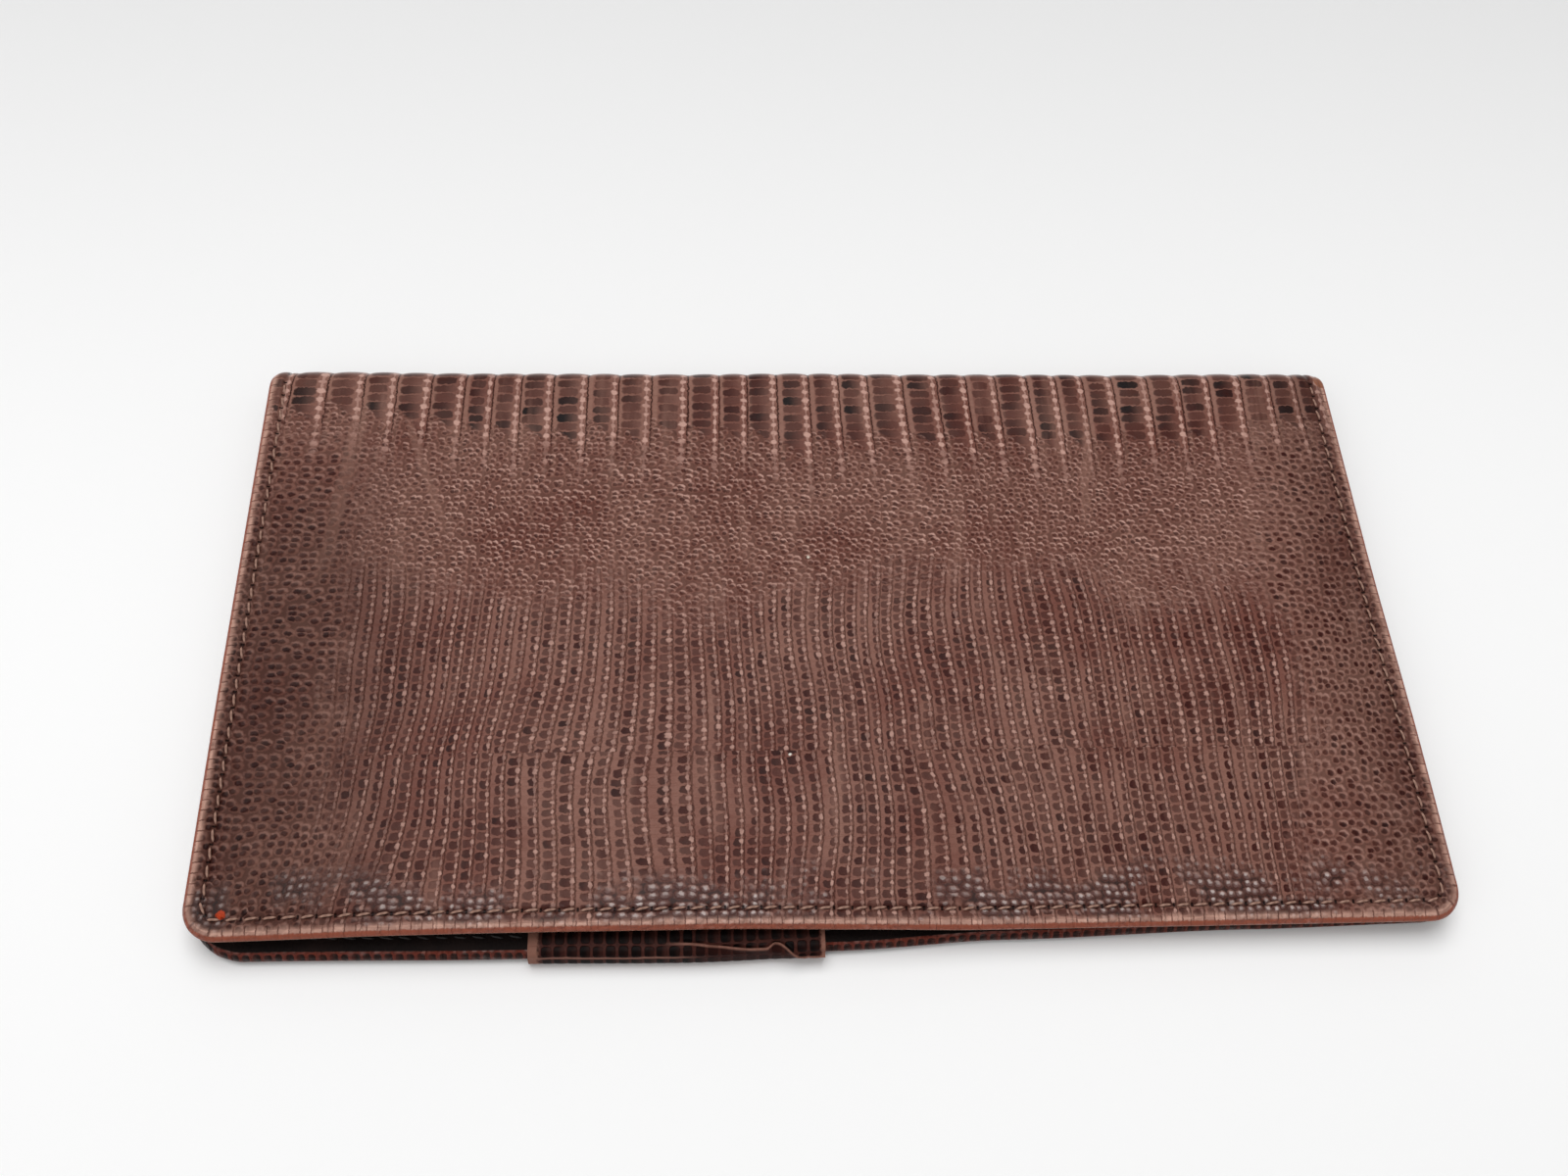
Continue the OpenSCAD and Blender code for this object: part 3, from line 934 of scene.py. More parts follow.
def pebble_field() -> bpy.types.NodeTree:
    """Group: small round scales that crowd together, each with a dark middle, a pale rim on its upper side that is
    partly a painted highlight where it faces the light, and a small painted highlight, the glint, near its top.

    Across and along give the place in mm, width and length the scales' pitch, and disorder how far they stray
    from an even grid.
    """
    recipe = Recipe(
        "Pebble field",
        {"Across": NUMBER, "Along": NUMBER, "Width": NUMBER, "Length": NUMBER, "Disorder": NUMBER},
        {"Cell": NUMBER, "Bead": NUMBER, "Groove": NUMBER, "Height": NUMBER, "Chance": NUMBER, "Glint": NUMBER})
    graph, given = recipe.graph, recipe.inputs
    spot = graph.join(given["Across"] / given["Width"], given["Along"] / given["Length"], 0.0)
    cells = graph.node("ShaderNodeTexVoronoi")
    cells.voronoi_dimensions = "2D"
    graph.feed(cells.inputs["Vector"], spot)
    cells.inputs["Scale"].default_value = 1.0
    graph.feed(cells.inputs["Randomness"], given["Disorder"])
    far = Wire(graph, cells.outputs["Distance"])
    x, y, _ = graph.split(spot)
    home_x, home_y, _ = graph.split(Wire(graph, cells.outputs["Position"]))
    chance, other, _ = graph.split(Wire(graph, cells.outputs["Color"]))
    dx, dy = x - home_x, y - home_y
    low = ((dx + 0.06) ** 2.0 + (dy - 0.10) ** 2.0) ** 0.5
    cell = low.ease(0.42 + other * 0.06, 0.22)
    # the pale rim on the upper side: partly the scale's own colour, partly a painted highlight where it faces the light
    bead = far.ease(0.60, 0.40) * (dy - dx * 0.5).ease(0.06, -0.22) * (1.0 - cell * 0.8) * (0.30 + other * 1.1)
    groove = far.ease(0.48, 0.66)
    height = far.ease(0.66, 0.08) + bead * 0.3
    # the glint: a small painted highlight near each scale's top
    glint = ((dx - 0.05) ** 2.0 + (dy + 0.17) ** 2.0).ease(0.075, 0.008) * (0.15 + chance * 0.85)
    return recipe.give(cell=cell * 0.8, bead=bead, groove=groove, height=height, chance=chance, glint=glint)


def lizard_hide(scales: bpy.types.NodeTree, pebbles: bpy.types.NodeTree, pattern: HidePattern) -> bpy.types.NodeTree:
    """Group: the whole hide, from the broad belly rows at the spine to the even rows at the front edge.

    The place is (rows coordinate, distance from the belly, plain coordinate) in mm. The fields of scales meet
    along ragged lines: belly, granular flank, narrow rows, broad rows past the pocket's imprint, and the net of
    round scales at the two ends.
    """
    recipe = Recipe("Lizard hide", {"Place": VECTOR, "Reach": NUMBER},
                    {"Cell": NUMBER, "Bead": NUMBER, "Groove": NUMBER, "Height": NUMBER, "Chance": NUMBER,
                     "Belly": NUMBER, "Band": NUMBER, "Dome": NUMBER, "Glint": NUMBER, "Streak": NUMBER})
    graph, given = recipe.graph, recipe.inputs
    across, signed, plain = graph.split(given["Place"])
    spot = graph.join(plain, signed, 0.0)
    long = graph.join(plain * 0.5, signed * 0.7, 0.0)
    sway = graph.noise(long, 0.042, 1.0) - 0.5
    wobble = graph.noise(long, 0.13, 1.0) - 0.5
    shiver = graph.noise(spot, 0.75, 1.0) - 0.5
    rise = graph.noise(graph.join(signed, plain, 9.0), 0.14, 1.0) - 0.5
    fray = graph.noise(spot, 2.1, 1.0) - 0.5
    tatter = graph.noise(graph.join(signed, plain, 3.0), 2.1, 1.0) - 0.5
    drift = graph.noise(graph.join(plain, signed, 4.0), 0.055, 3.0) - 0.5
    away = signed.size()
    free = away.ease(8.0, 26.0)
    u = across + (sway * 6.5 + wobble * 0.5) * free + shiver * 0.26 + fray * 0.40
    v = away + rise * 0.9 * free + shiver * 0.26 + tatter * 0.36
    belly_row = across / pattern.belly
    row_chance, _, _ = graph.dice(graph.join(belly_row.floor(), 5.0, 1.0))
    ends = plain.least(180.0 - plain)
    belly_end = 11.8 + row_chance * 2.6 + belly_row.fract() * 4.6 + plain.ease(48.0, 96.0) * 2.8
    belly_end = belly_end - ends.ease(34.0, 6.0) * 4.0
    belly = (away + shiver * 1.2).ease(belly_end + 0.5, belly_end - 0.5)
    flank = (away + drift * 30.0 + wobble * 6.0).ease(50.0, 37.0)
    front = away.ease(given["Reach"] - pattern.imprint - 0.1, given["Reach"] - pattern.imprint + 0.1)
    net = (ends + drift * 26.0 + wobble * 5.0).ease(24.0, 13.0) * away.ease(12.0, 20.0)
    patch = graph.noise(graph.join(plain, signed, 2.0), 0.10, 2.0)
    # the zone of domed scales near the front edge, which the material paints with sheen and glints
    near = away.ease(given["Reach"] - 10.0 + drift * 10.0, given["Reach"] - 5.5 + drift * 10.0)
    dome = near * patch.ease(0.43, 0.56)
    band = patch.ease(0.34, 0.58) * 0.20 + 0.10
    fields = [
        graph.group(scales, across=across + shiver * 0.3 + fray * 0.5, along=away + shiver * 0.35 + tatter * 0.5, width=pattern.belly, length=1.74,
                    band=0.12, bead=0.19, inner=1.0, stagger=0.4, seed=1.0),
        graph.group(pebbles, across=u, along=v, width=1.14, length=1.02, disorder=0.80),
        graph.group(scales, across=u, along=v, width=2.02, length=1.42, band=band, bead=0.34, inner=0.25,
                    stagger=0.5, seed=3.0),
        graph.group(scales, across=u + 0.8, along=v, width=2.18, length=1.52, band=band, bead=0.26, inner=0.25,
                    stagger=0.3, seed=4.0),
        graph.group(pebbles, across=u, along=v, width=1.52, length=1.30, disorder=0.62),
        graph.group(pebbles, across=u, along=v, width=1.42, length=1.26, disorder=0.42)]
    fields[4]["Bead"] = fields[4]["Bead"] * 0.45
    fields[4]["Cell"] = (fields[4]["Cell"] * 1.25).least(1.0)
    made = {}
    for label in ("Cell", "Bead", "Groove", "Height", "Chance"):
        value = graph.blend(front, fields[2][label], fields[3][label])
        value = graph.blend(flank, value, fields[1][label])
        value = graph.blend(net, value, fields[4][label])
        value = graph.blend(dome, value, fields[5][label])
        made[label.lower()] = graph.blend(belly, value, fields[0][label])
    tail = away.ease(belly_end + 9.0, belly_end + 1.0) * (1.0 - belly)
    made["bead"] = (made["bead"] * (1.0 - tail * 0.4)).most(fields[0]["Bead"] * tail)
    made["cell"] = made["cell"] * (1.0 - fields[0]["Bead"] * tail)
    made["groove"] = made["groove"].most(fields[0]["Groove"] * (away + drift * 30.0).ease(36.0, 14.0))
    made["height"] = made["height"] + (fields[0]["Bead"] - fields[0]["Groove"]) * tail * 0.4
    plain_band = belly_row.fract().ease(0.03, 0.06) * belly_row.fract().ease(0.20, 0.13)
    streak = graph.noise(graph.join(u * 0.30, signed * 0.035, 7.0), 1.0, 3.0, 0.6)
    # Glint, a painted highlight, is kept to the domes' zone
    return recipe.give(belly=belly, band=plain_band * (away + drift * 20.0).ease(30.0, 10.0), dome=dome,
                       glint=fields[5]["Glint"] * dome, streak=streak, **made)


def edge_wear() -> bpy.types.NodeTree:
    """Group: how far an edge is rubbed. Distance is from the edge in mm, and place breaks the rub up."""
    recipe = Recipe("Edge wear", {"Distance": NUMBER, "Width": NUMBER, "Place": VECTOR}, {"Wear": NUMBER})
    graph, given = recipe.graph, recipe.inputs
    patches = graph.noise(given["Place"], 0.35, 3.0, 0.6)
    wear = (given["Distance"] + (patches - 0.5) * 1.3).ease(given["Width"], given["Width"] * 0.25)
    return recipe.give(wear=wear)


def leather_grain() -> bpy.types.NodeTree:
    """Group: the fine pebbled grain of calf. Size is the grain's pitch in mm."""
    recipe = Recipe("Leather grain", {"Place": VECTOR, "Size": NUMBER}, {"Height": NUMBER, "Tone": NUMBER})
    graph, given = recipe.graph, recipe.inputs
    cells = graph.node("ShaderNodeTexVoronoi")
    cells.feature = "F1"
    scaled = graph.node("ShaderNodeVectorMath")
    scaled.operation = "SCALE"
    graph.feed(scaled.inputs[0], given["Place"])
    graph.feed(scaled.inputs["Scale"], 1.0 / 1.0)
    graph.feed(cells.inputs["Vector"], Wire(graph, scaled.outputs[0]))
    graph.feed(cells.inputs["Scale"], graph.math("DIVIDE", 1.0, given["Size"]))
    height = 1.0 - Wire(graph, cells.outputs["Distance"])
    tone = graph.noise(given["Place"], 0.12, 4.0, 0.6)
    return recipe.give(height=height, tone=tone)


def weave() -> bpy.types.NodeTree:
    """Group: a plain weave, over and under. Place is in mm and thread is the threads' pitch."""
    recipe = Recipe("Plain weave", {"Place": VECTOR, "Thread": NUMBER}, {"Height": NUMBER, "Tone": NUMBER})
    graph, given = recipe.graph, recipe.inputs
    x, y, _ = graph.split(given["Place"])
    a, b = x / given["Thread"], y / given["Thread"]
    over = ((a.floor() + b.floor()) * 0.5).fract() * 2.0
    round_a = 1.0 - (a.fract() * 2.0 - 1.0).size() ** 2.0
    round_b = 1.0 - (b.fract() * 2.0 - 1.0).size() ** 2.0
    height = graph.blend(over, round_a, round_b)
    tone, _, _ = graph.dice(graph.join(a.floor(), b.floor(), 1.0))
    return recipe.give(height=height, tone=tone)


class Groups:
    """The shared node groups, each made once."""

    def __init__(self, pattern: HidePattern) -> None:
        """Makes every group."""
        self.scales = scale_field()
        self.pebbles = pebble_field()
        self.hide = lizard_hide(self.scales, self.pebbles, pattern)
        self.wear = edge_wear()
        self.grain = leather_grain()
        self.weave = weave()


# ---------------------------------------------------------------- finishes

def new_material(name: str) -> tuple[bpy.types.Material, Graph, bpy.types.Node]:
    """A material with its Principled BSDF ready to be fed."""
    material = bpy.data.materials.new(name)
    material.use_nodes = True
    graph = Graph(material.node_tree)
    return material, graph, material.node_tree.nodes["Principled BSDF"]


def bump(graph: Graph, shader: bpy.types.Node, height: Wire, distance: float, strength: float = 1.0) -> None:
    """Turns a height between 0 and 1 into the shader's normal; the distance is in mm."""
    node = graph.node("ShaderNodeBump")
    node.inputs["Strength"].default_value = strength
    node.inputs["Distance"].default_value = distance * MM
    graph.feed(node.inputs["Height"], height)
    graph.feed(shader.inputs["Normal"], Wire(graph, node.outputs["Normal"]))


@dataclass(frozen=True)
class Blemish:
    """A small mark on the hide: its place in the pattern and its radius in mm, and its colour."""

    across: float
    from_front: float
    radius: float
    colour: str


@dataclass(frozen=True)
class Fold:
    """A smooth fold across the scales: where it starts and ends from the belly, its lean, and half its width, in mm."""

    across: float
    start: float
    stop: float
    lean: float
    half_width: float


@dataclass(frozen=True)
class HideFinish:
    """Old polished lizard skin: dark dye in the scales, paler ridges and beads (the beads partly a painted highlight),
    a rubbed edge, painted sheen and glints on the domes and the spine, and painted shade.
    """

    name: str
    ridge: str = "855d51"
    ridge_red: str = "70443a"
    cell: str = "360c06"
    cell_cool: str = "2a100e"
    cell_black: str = "120b0c"
    # the beads' pale: partly their own colour, partly a painted highlight
    bead: str = "c0978a"
    groove: str = "240c07"
    band: str = "8d675a"
    margin: str = "aaa09d"
    # painted light: a grey reflection along the spine, the domes' grey sheen towards their tops, and their glints
    spine_sheen: str = "8b807b"
    dome: str = "6b524e"
    glint: str = "b8aaa6"
    crest: str = "dcae9c"
    nose: str = "9a5440"
    lip: str = "a58c7f"
    edge_dark: str = "3a1611"
    edge_scales: float = 0.12
    lip_from: float = 5.6
    blemishes: tuple[Blemish, ...] = ()
    folds: tuple[Fold, ...] = ()
    roughness: float = 0.40

    def make(self, groups: Groups, reach: float) -> bpy.types.Material:
        """Makes the material.

        Args:
            groups: the shared node groups.
            reach: length of the cover's pattern, from the front edge to the middle of the spine, in mm.
        """
        material, graph, shader = new_material(self.name)
        place, rim = graph.mark("hide"), graph.mark("rim")
        edge, seam, along_rim = graph.split(rim)
        inside = along_rim.ease(8.9, 9.0)
        across, signed, plain = graph.split(place)
        flat = graph.join(plain, signed, 0.0)
        hide = graph.group(groups.hide, place=place, reach=reach)
        broad = graph.noise(flat, 0.045, 4.0, 0.6)
        middling = graph.noise(flat, 0.28, 3.0, 0.55)
        fine = graph.noise(flat, 2.6, 2.0, 0.6)
        colour = graph.mix(broad.ease(0.35, 0.68), paint(self.ridge), paint(self.ridge_red))
        colour = graph.mix(hide["Streak"].ease(0.50, 0.72) * 0.5, colour, paint(self.band))
        colour = graph.mix(hide["Band"] * 0.7, colour, paint(self.band))
        dark = graph.mix(middling.ease(0.44, 0.66), paint(self.cell), paint(self.cell_cool))
        blackness = hide["Belly"] * (hide["Chance"] + signed.size().ease(2.0, 11.0) * 0.35).ease(0.55, 1.15) * broad.ease(0.62, 0.42)
        dark = graph.mix(blackness, dark, paint(self.cell_black))
        depth = hide["Cell"] * (0.60 + hide["Chance"] * 0.40) * (1.0 - hide["Streak"].ease(0.52, 0.74) * 0.45)
        colour = graph.mix(depth, colour, dark)
        # the domes grow greyer and paler towards their tops: painted sheen and shading
        button = graph.mix(hide["Height"].ease(0.40, 0.90), paint(self.cell), paint(self.dome))
        colour = graph.mix(hide["Dome"] * 0.72, colour, button)
        # a painted highlight near each dome's top
        colour = graph.mix(hide["Glint"], colour, paint(self.glint))
        colour = graph.mix(hide["Groove"] * (0.42 + hide["Belly"] * 0.45 + hide["Dome"] * 0.45), colour, paint(self.groove))
        # the pale beads: partly the scales' own colour, partly a painted highlight on the rims that face the light
        pale = hide["Bead"] * (0.36 + middling.ease(0.35, 0.6) * 0.44 + hide["Belly"] * 0.55) * (1.0 - hide["Dome"] * 0.7)
        colour = graph.mix(pale, colour, paint(self.bead))
        for fold in self.folds:
            off = plain - fold.across - (signed - fold.start) * fold.lean + (middling - 0.5) * 1.6
            smooth = off.size().ease(fold.half_width, fold.half_width * 0.5) * signed.ease(fold.start - 3.0, fold.start + 2.0)
            smooth = smooth * signed.ease(fold.stop + 3.0, fold.stop - 5.0) * (0.20 + fine * 0.45)
            colour = graph.mix(smooth, colour, paint(self.band))
        side = (plain.ease(40.0, 8.0) * signed.size().ease(8.0, 45.0) * 0.75).most(plain.ease(162.0, 177.0) * 0.45) * (0.6 + broad.ease(0.3, 0.5) * 0.4)
        colour = graph.mix(side, colour, paint(self.margin), "MULTIPLY")
        # a grey painted reflection along the spine's curve
        colour = graph.mix(signed.size().ease(4.2, 1.2) * 0.35, colour, paint(self.spine_sheen))
        colour = graph.mix((fine - 0.42) * 0.35, colour, paint("1d0f0c"))
        # the turned edge: brown outside the seam, a rubbed crest cut by the scales' ends, a red nose, a pale lip
        patches = graph.group(groups.wear, distance=edge, width=1.9, place=flat)["Wear"] * (1.0 - inside)
        ends = graph.group(groups.scales, across=seam * 2.55 + fine * 0.30, along=along_rim + 0.2,
                           width=1.50, length=1.45, band=0.06, bead=0.2, inner=0.5, stagger=0.0, seed=6.0)
        button = (along_rim - 4.0 + (fine - 0.5) * 0.5).size().ease(0.95, 0.35) * (1.0 - ends["Groove"])
        crest = graph.mix(button * (0.45 + ends["Chance"] * 0.55), paint(self.ridge), paint(self.crest))
        crest = graph.mix(ends["Groove"] * 0.12, crest, paint(self.groove))
        worn = graph.mix((along_rim + (fine - 0.5) * 0.5).ease(4.5, 4.8), crest, paint(self.nose))
        worn = graph.mix(ends["Cell"] * self.edge_scales, worn, paint(self.edge_dark))
        worn = graph.mix(ends["Groove"] * fine * 0.32, worn, paint(self.groove))
        worn = graph.mix(along_rim.ease(self.lip_from, self.lip_from + 0.2), worn, paint(self.lip))
        colour = graph.mix(patches * 0.9, colour, worn)
        # needle holes painted near-black as their shade, and the painted shade of the pressed groove
        hole = (seam.fract() - 0.5).size().ease(0.41, 0.48) * (edge - 2.8).size().ease(0.38, 0.14)
        pressed = (edge - 2.8).size().ease(0.80, 0.1) * (1.0 - inside)
        colour = graph.mix(pressed * 0.25, colour, paint(self.groove))
        # the holes painted near-black: painted shade
        colour = graph.mix(hole * (1.0 - inside), colour, paint("180a08"))
        # the hem's face inside the gap between the covers, darkened: painted shade
        colour = graph.mix(inside * 0.7, colour, paint("2a1814"))
        for mark in self.blemishes:
            far = ((plain - mark.across) ** 2.0 + (signed - (reach - mark.from_front)) ** 2.0) ** 0.5
            spread = (far + fine * 0.5).ease(mark.radius + 0.25, mark.radius)
            colour = graph.mix(spread * (1.0 - inside), colour, paint(mark.colour))
        graph.feed(shader.inputs["Base Color"], colour)
        gloss = self.roughness + (middling - 0.5) * 0.25 + hide["Groove"] * 0.2 - hide["Dome"] * 0.12
        graph.feed(shader.inputs["Roughness"], gloss)
        shader.inputs["Specular IOR Level"].default_value = 0.09
        graph.feed(shader.inputs["Coat Weight"], (hide["Dome"] * 0.14).most(signed.size().ease(5.0, 2.0) * 0.85))
        shader.inputs["Coat Roughness"].default_value = 0.28
        height = hide["Height"] * (0.80 + hide["Belly"] * 0.25 + hide["Dome"] * 0.5) + fine * 0.20 - hole * 0.9
        height = height - ends["Groove"] * patches * 0.12
        bump(graph, shader, height, 0.20)
        return material


@dataclass(frozen=True)
class TabFinish:
    """Belly skin on the tab: near-black square scales with pinkish outlines, a pale cut edge, and pale painted
    highlights along the fold and the crease's ridge.
    """

    name: str = "tab_hide"
    outline: str = "43231d"
    # line: the pale of the painted highlights along the fold and the crease's ridge
    line: str = "93685a"
    cell: str = "120504"
    cell_black: str = "030101"
    cut: str = "8a6052"

    def make(self, groups: Groups, tab: Tab) -> bpy.types.Material:
        """Makes the material, with scales of the tab's own pitch."""
        material, graph, shader = new_material(self.name)
        place = graph.mark("strap")
        across, along, edge = graph.split(place)
        scales = graph.group(groups.scales, across=across, along=along - tab.first_row, width=tab.scale_across,
                             length=tab.scale_up, band=0.04, bead=0.06, inner=1.0, stagger=0.0, seed=8.0)
        grain = graph.noise(place, 1.4, 3.0, 0.6)
        rubbed = graph.noise(place, 0.25, 2.0)
        colour = graph.mix(grain.ease(0.35, 0.7) * 0.6, paint(self.outline), paint("2c1411"))
        colour = graph.mix(scales["Cell"] * (0.85 + grain * 0.3), colour, paint(self.cell))
        colour = graph.mix(scales["Chance"].ease(0.3, 0.8) * scales["Cell"] * 0.8, colour, paint(self.cell_black))
        crease, share, _ = graph.split(graph.mark("crease"))
        # pale lines along the fold and the crease's ridge: painted highlights
        fold = (along - 2.5 + (rubbed - 0.5) * 0.5).size().ease(0.30, 0.08) * share.ease(0.62, 0.45)
        ridge = (crease + (rubbed - 0.5) * 0.3).size().ease(0.26, 0.08) * share.ease(0.44, 0.55)
        colour = graph.mix(fold.most(ridge) * (0.35 + grain * 0.7), colour, paint(self.line))
        colour = graph.mix(share.ease(0.52, 0.66) * crease.ease(0.1, -0.2) * 0.6, colour, paint("2f120e"))
        ragged = edge + (grain - 0.5) * 0.9
        cut = ragged.ease(0.75, 0.35).most((across + (grain - 0.5) * 1.2).ease(1.7, 1.1))
        colour = graph.mix(cut * 0.85, colour, paint(self.cut))
        graph.feed(shader.inputs["Base Color"], colour)
        graph.feed(shader.inputs["Roughness"], 0.36 + grain * 0.2)
        shader.inputs["Specular IOR Level"].default_value = 0.06
        bump(graph, shader, scales["Cell"] * 0.6 + grain * 0.3, 0.12)
        return material


@dataclass(frozen=True)
class ThreadFinish:
    """Waxed linen thread, two plies twisted."""

    name: str = "seam_thread"
    light: str = "a5806f"
    dark: str = "7a5547"

    def make(self) -> bpy.types.Material:
        """Makes the material; the plies are stripes that climb round each stitch."""
        material, graph, shader = new_material(self.name)
        step, around, far = graph.split(graph.mark("twist"))
        stripe = (step * 7.0 + around * 1.0).sine() * 0.5 + 0.5
        soil = graph.noise(graph.join(far, step, 0.0), 0.3, 3.0)
        colour = graph.mix(stripe * 0.5 + soil * 0.35, paint(self.light), paint(self.dark))
        graph.feed(shader.inputs["Base Color"], colour)
        shader.inputs["Roughness"].default_value = 0.55
        bump(graph, shader, stripe, 0.05)
        return material


@dataclass(frozen=True)
class LiningFinish:
    """Black glazed lining cloth with a fine weave."""

    name: str = "lining_cloth"
    base: str = "0c090a"
    pale: str = "1c1616"
    thread: float = 0.28

    def make(self, groups: Groups, mark: str = "sheet") -> bpy.types.Material:
        """Makes the material on the sheets' own coordinates."""
        material, graph, shader = new_material(self.name)
        place = graph.mark(mark)
        cloth = graph.group(groups.weave, place=place, thread=self.thread)
        dust = graph.noise(place, 0.2, 4.0, 0.6)
        colour = graph.mix(cloth["Height"] * 0.25 + cloth["Tone"] * 0.15 + dust.ease(0.5, 0.8) * 0.3,
                           paint(self.base), paint(self.pale))
        graph.feed(shader.inputs["Base Color"], colour)
        graph.feed(shader.inputs["Roughness"], 0.5 + dust * 0.25)
        shader.inputs["Specular IOR Level"].default_value = 0.12
        bump(graph, shader, cloth["Height"], 0.03)
        return material


@dataclass(frozen=True)
class CalfFinish:
    """Thin black-brown calf: pebbled grain, a line pressed along its edge, and a rubbed lip."""

    name: str
    base: str = "120c0b"
    pale: str = "241917"
    lip: str = "4a332c"
    crease_at: float = 1.2

    def make(self, groups: Groups) -> bpy.types.Material:
        """Makes the material on the sheets' own coordinates."""
        material, graph, shader = new_material(self.name)
        place = graph.mark("sheet")
        _, _, edge = graph.split(place)
        grain = graph.group(groups.grain, place=place, size=0.55)
        crease = (edge - self.crease_at).size().ease(0.22, 0.06)
        wear = graph.group(groups.wear, distance=edge, width=0.5, place=place)["Wear"]
        colour = graph.mix(grain["Tone"].ease(0.35, 0.75) * 0.7, paint(self.base), paint(self.pale))
        colour = graph.mix(wear * 0.55, colour, paint(self.lip))
        colour = graph.mix(crease * 0.6, colour, paint("0d0909"))
        graph.feed(shader.inputs["Base Color"], colour)
        graph.feed(shader.inputs["Roughness"], 0.50 + grain["Tone"] * 0.2)
        shader.inputs["Specular IOR Level"].default_value = 0.07
        bump(graph, shader, grain["Height"] * 0.5 - crease * 1.2, 0.08)
        return material


@dataclass(frozen=True)
class BoardFinish:
    """Grey-brown stiffening board, or pale interfacing, out of sight inside the covers."""

    name: str
    base: str = "8a7a64"
    fleck: str = "5d5040"

    def make(self, groups: Groups) -> bpy.types.Material:
        """Makes the material on the sheets' own coordinates."""
        material, graph, shader = new_material(self.name)
        place = graph.mark("sheet")
        fibre = graph.noise(place, 1.8, 5.0, 0.7)
        cloth = graph.group(groups.weave, place=place, thread=0.6)
        colour = graph.mix(fibre.ease(0.4, 0.7), paint(self.base), paint(self.fleck))
        graph.feed(shader.inputs["Base Color"], colour)
        shader.inputs["Roughness"].default_value = 0.85
        bump(graph, shader, fibre * 0.7 + cloth["Height"] * 0.3, 0.04)
        return material


# ---------------------------------------------------------------- the holder

def dress(obj: bpy.types.Object, material: bpy.types.Material, nodes: Sequence[str]) -> bpy.types.Object:
    """Gives a piece its material and hides the CAD nodes that it stands for."""
    obj.data.materials.append(material)
    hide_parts(*nodes)
    return obj


def bend_over_spine(obj: bpy.types.Object, cover: Cover) -> bpy.types.Object:
    """Bakes the transform into a piece that runs from a cover to the middle of the spine; the ends of its bend are
    worked out but not used.
    """
    s = cover.sizes
    y, r, share = s.spine_start * MM, s.spine_radius * MM, 0.68
    flat_end = (0.0, y, 0.0)
    spine_end = (0.0, y + share * r, share * r)
    if cover.side is Side.BACK:
        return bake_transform(obj)
    top = s.height * MM
    flat_end, spine_end = ((0.0, p[1], top - p[2]) for p in (flat_end, spine_end))
    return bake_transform(obj)


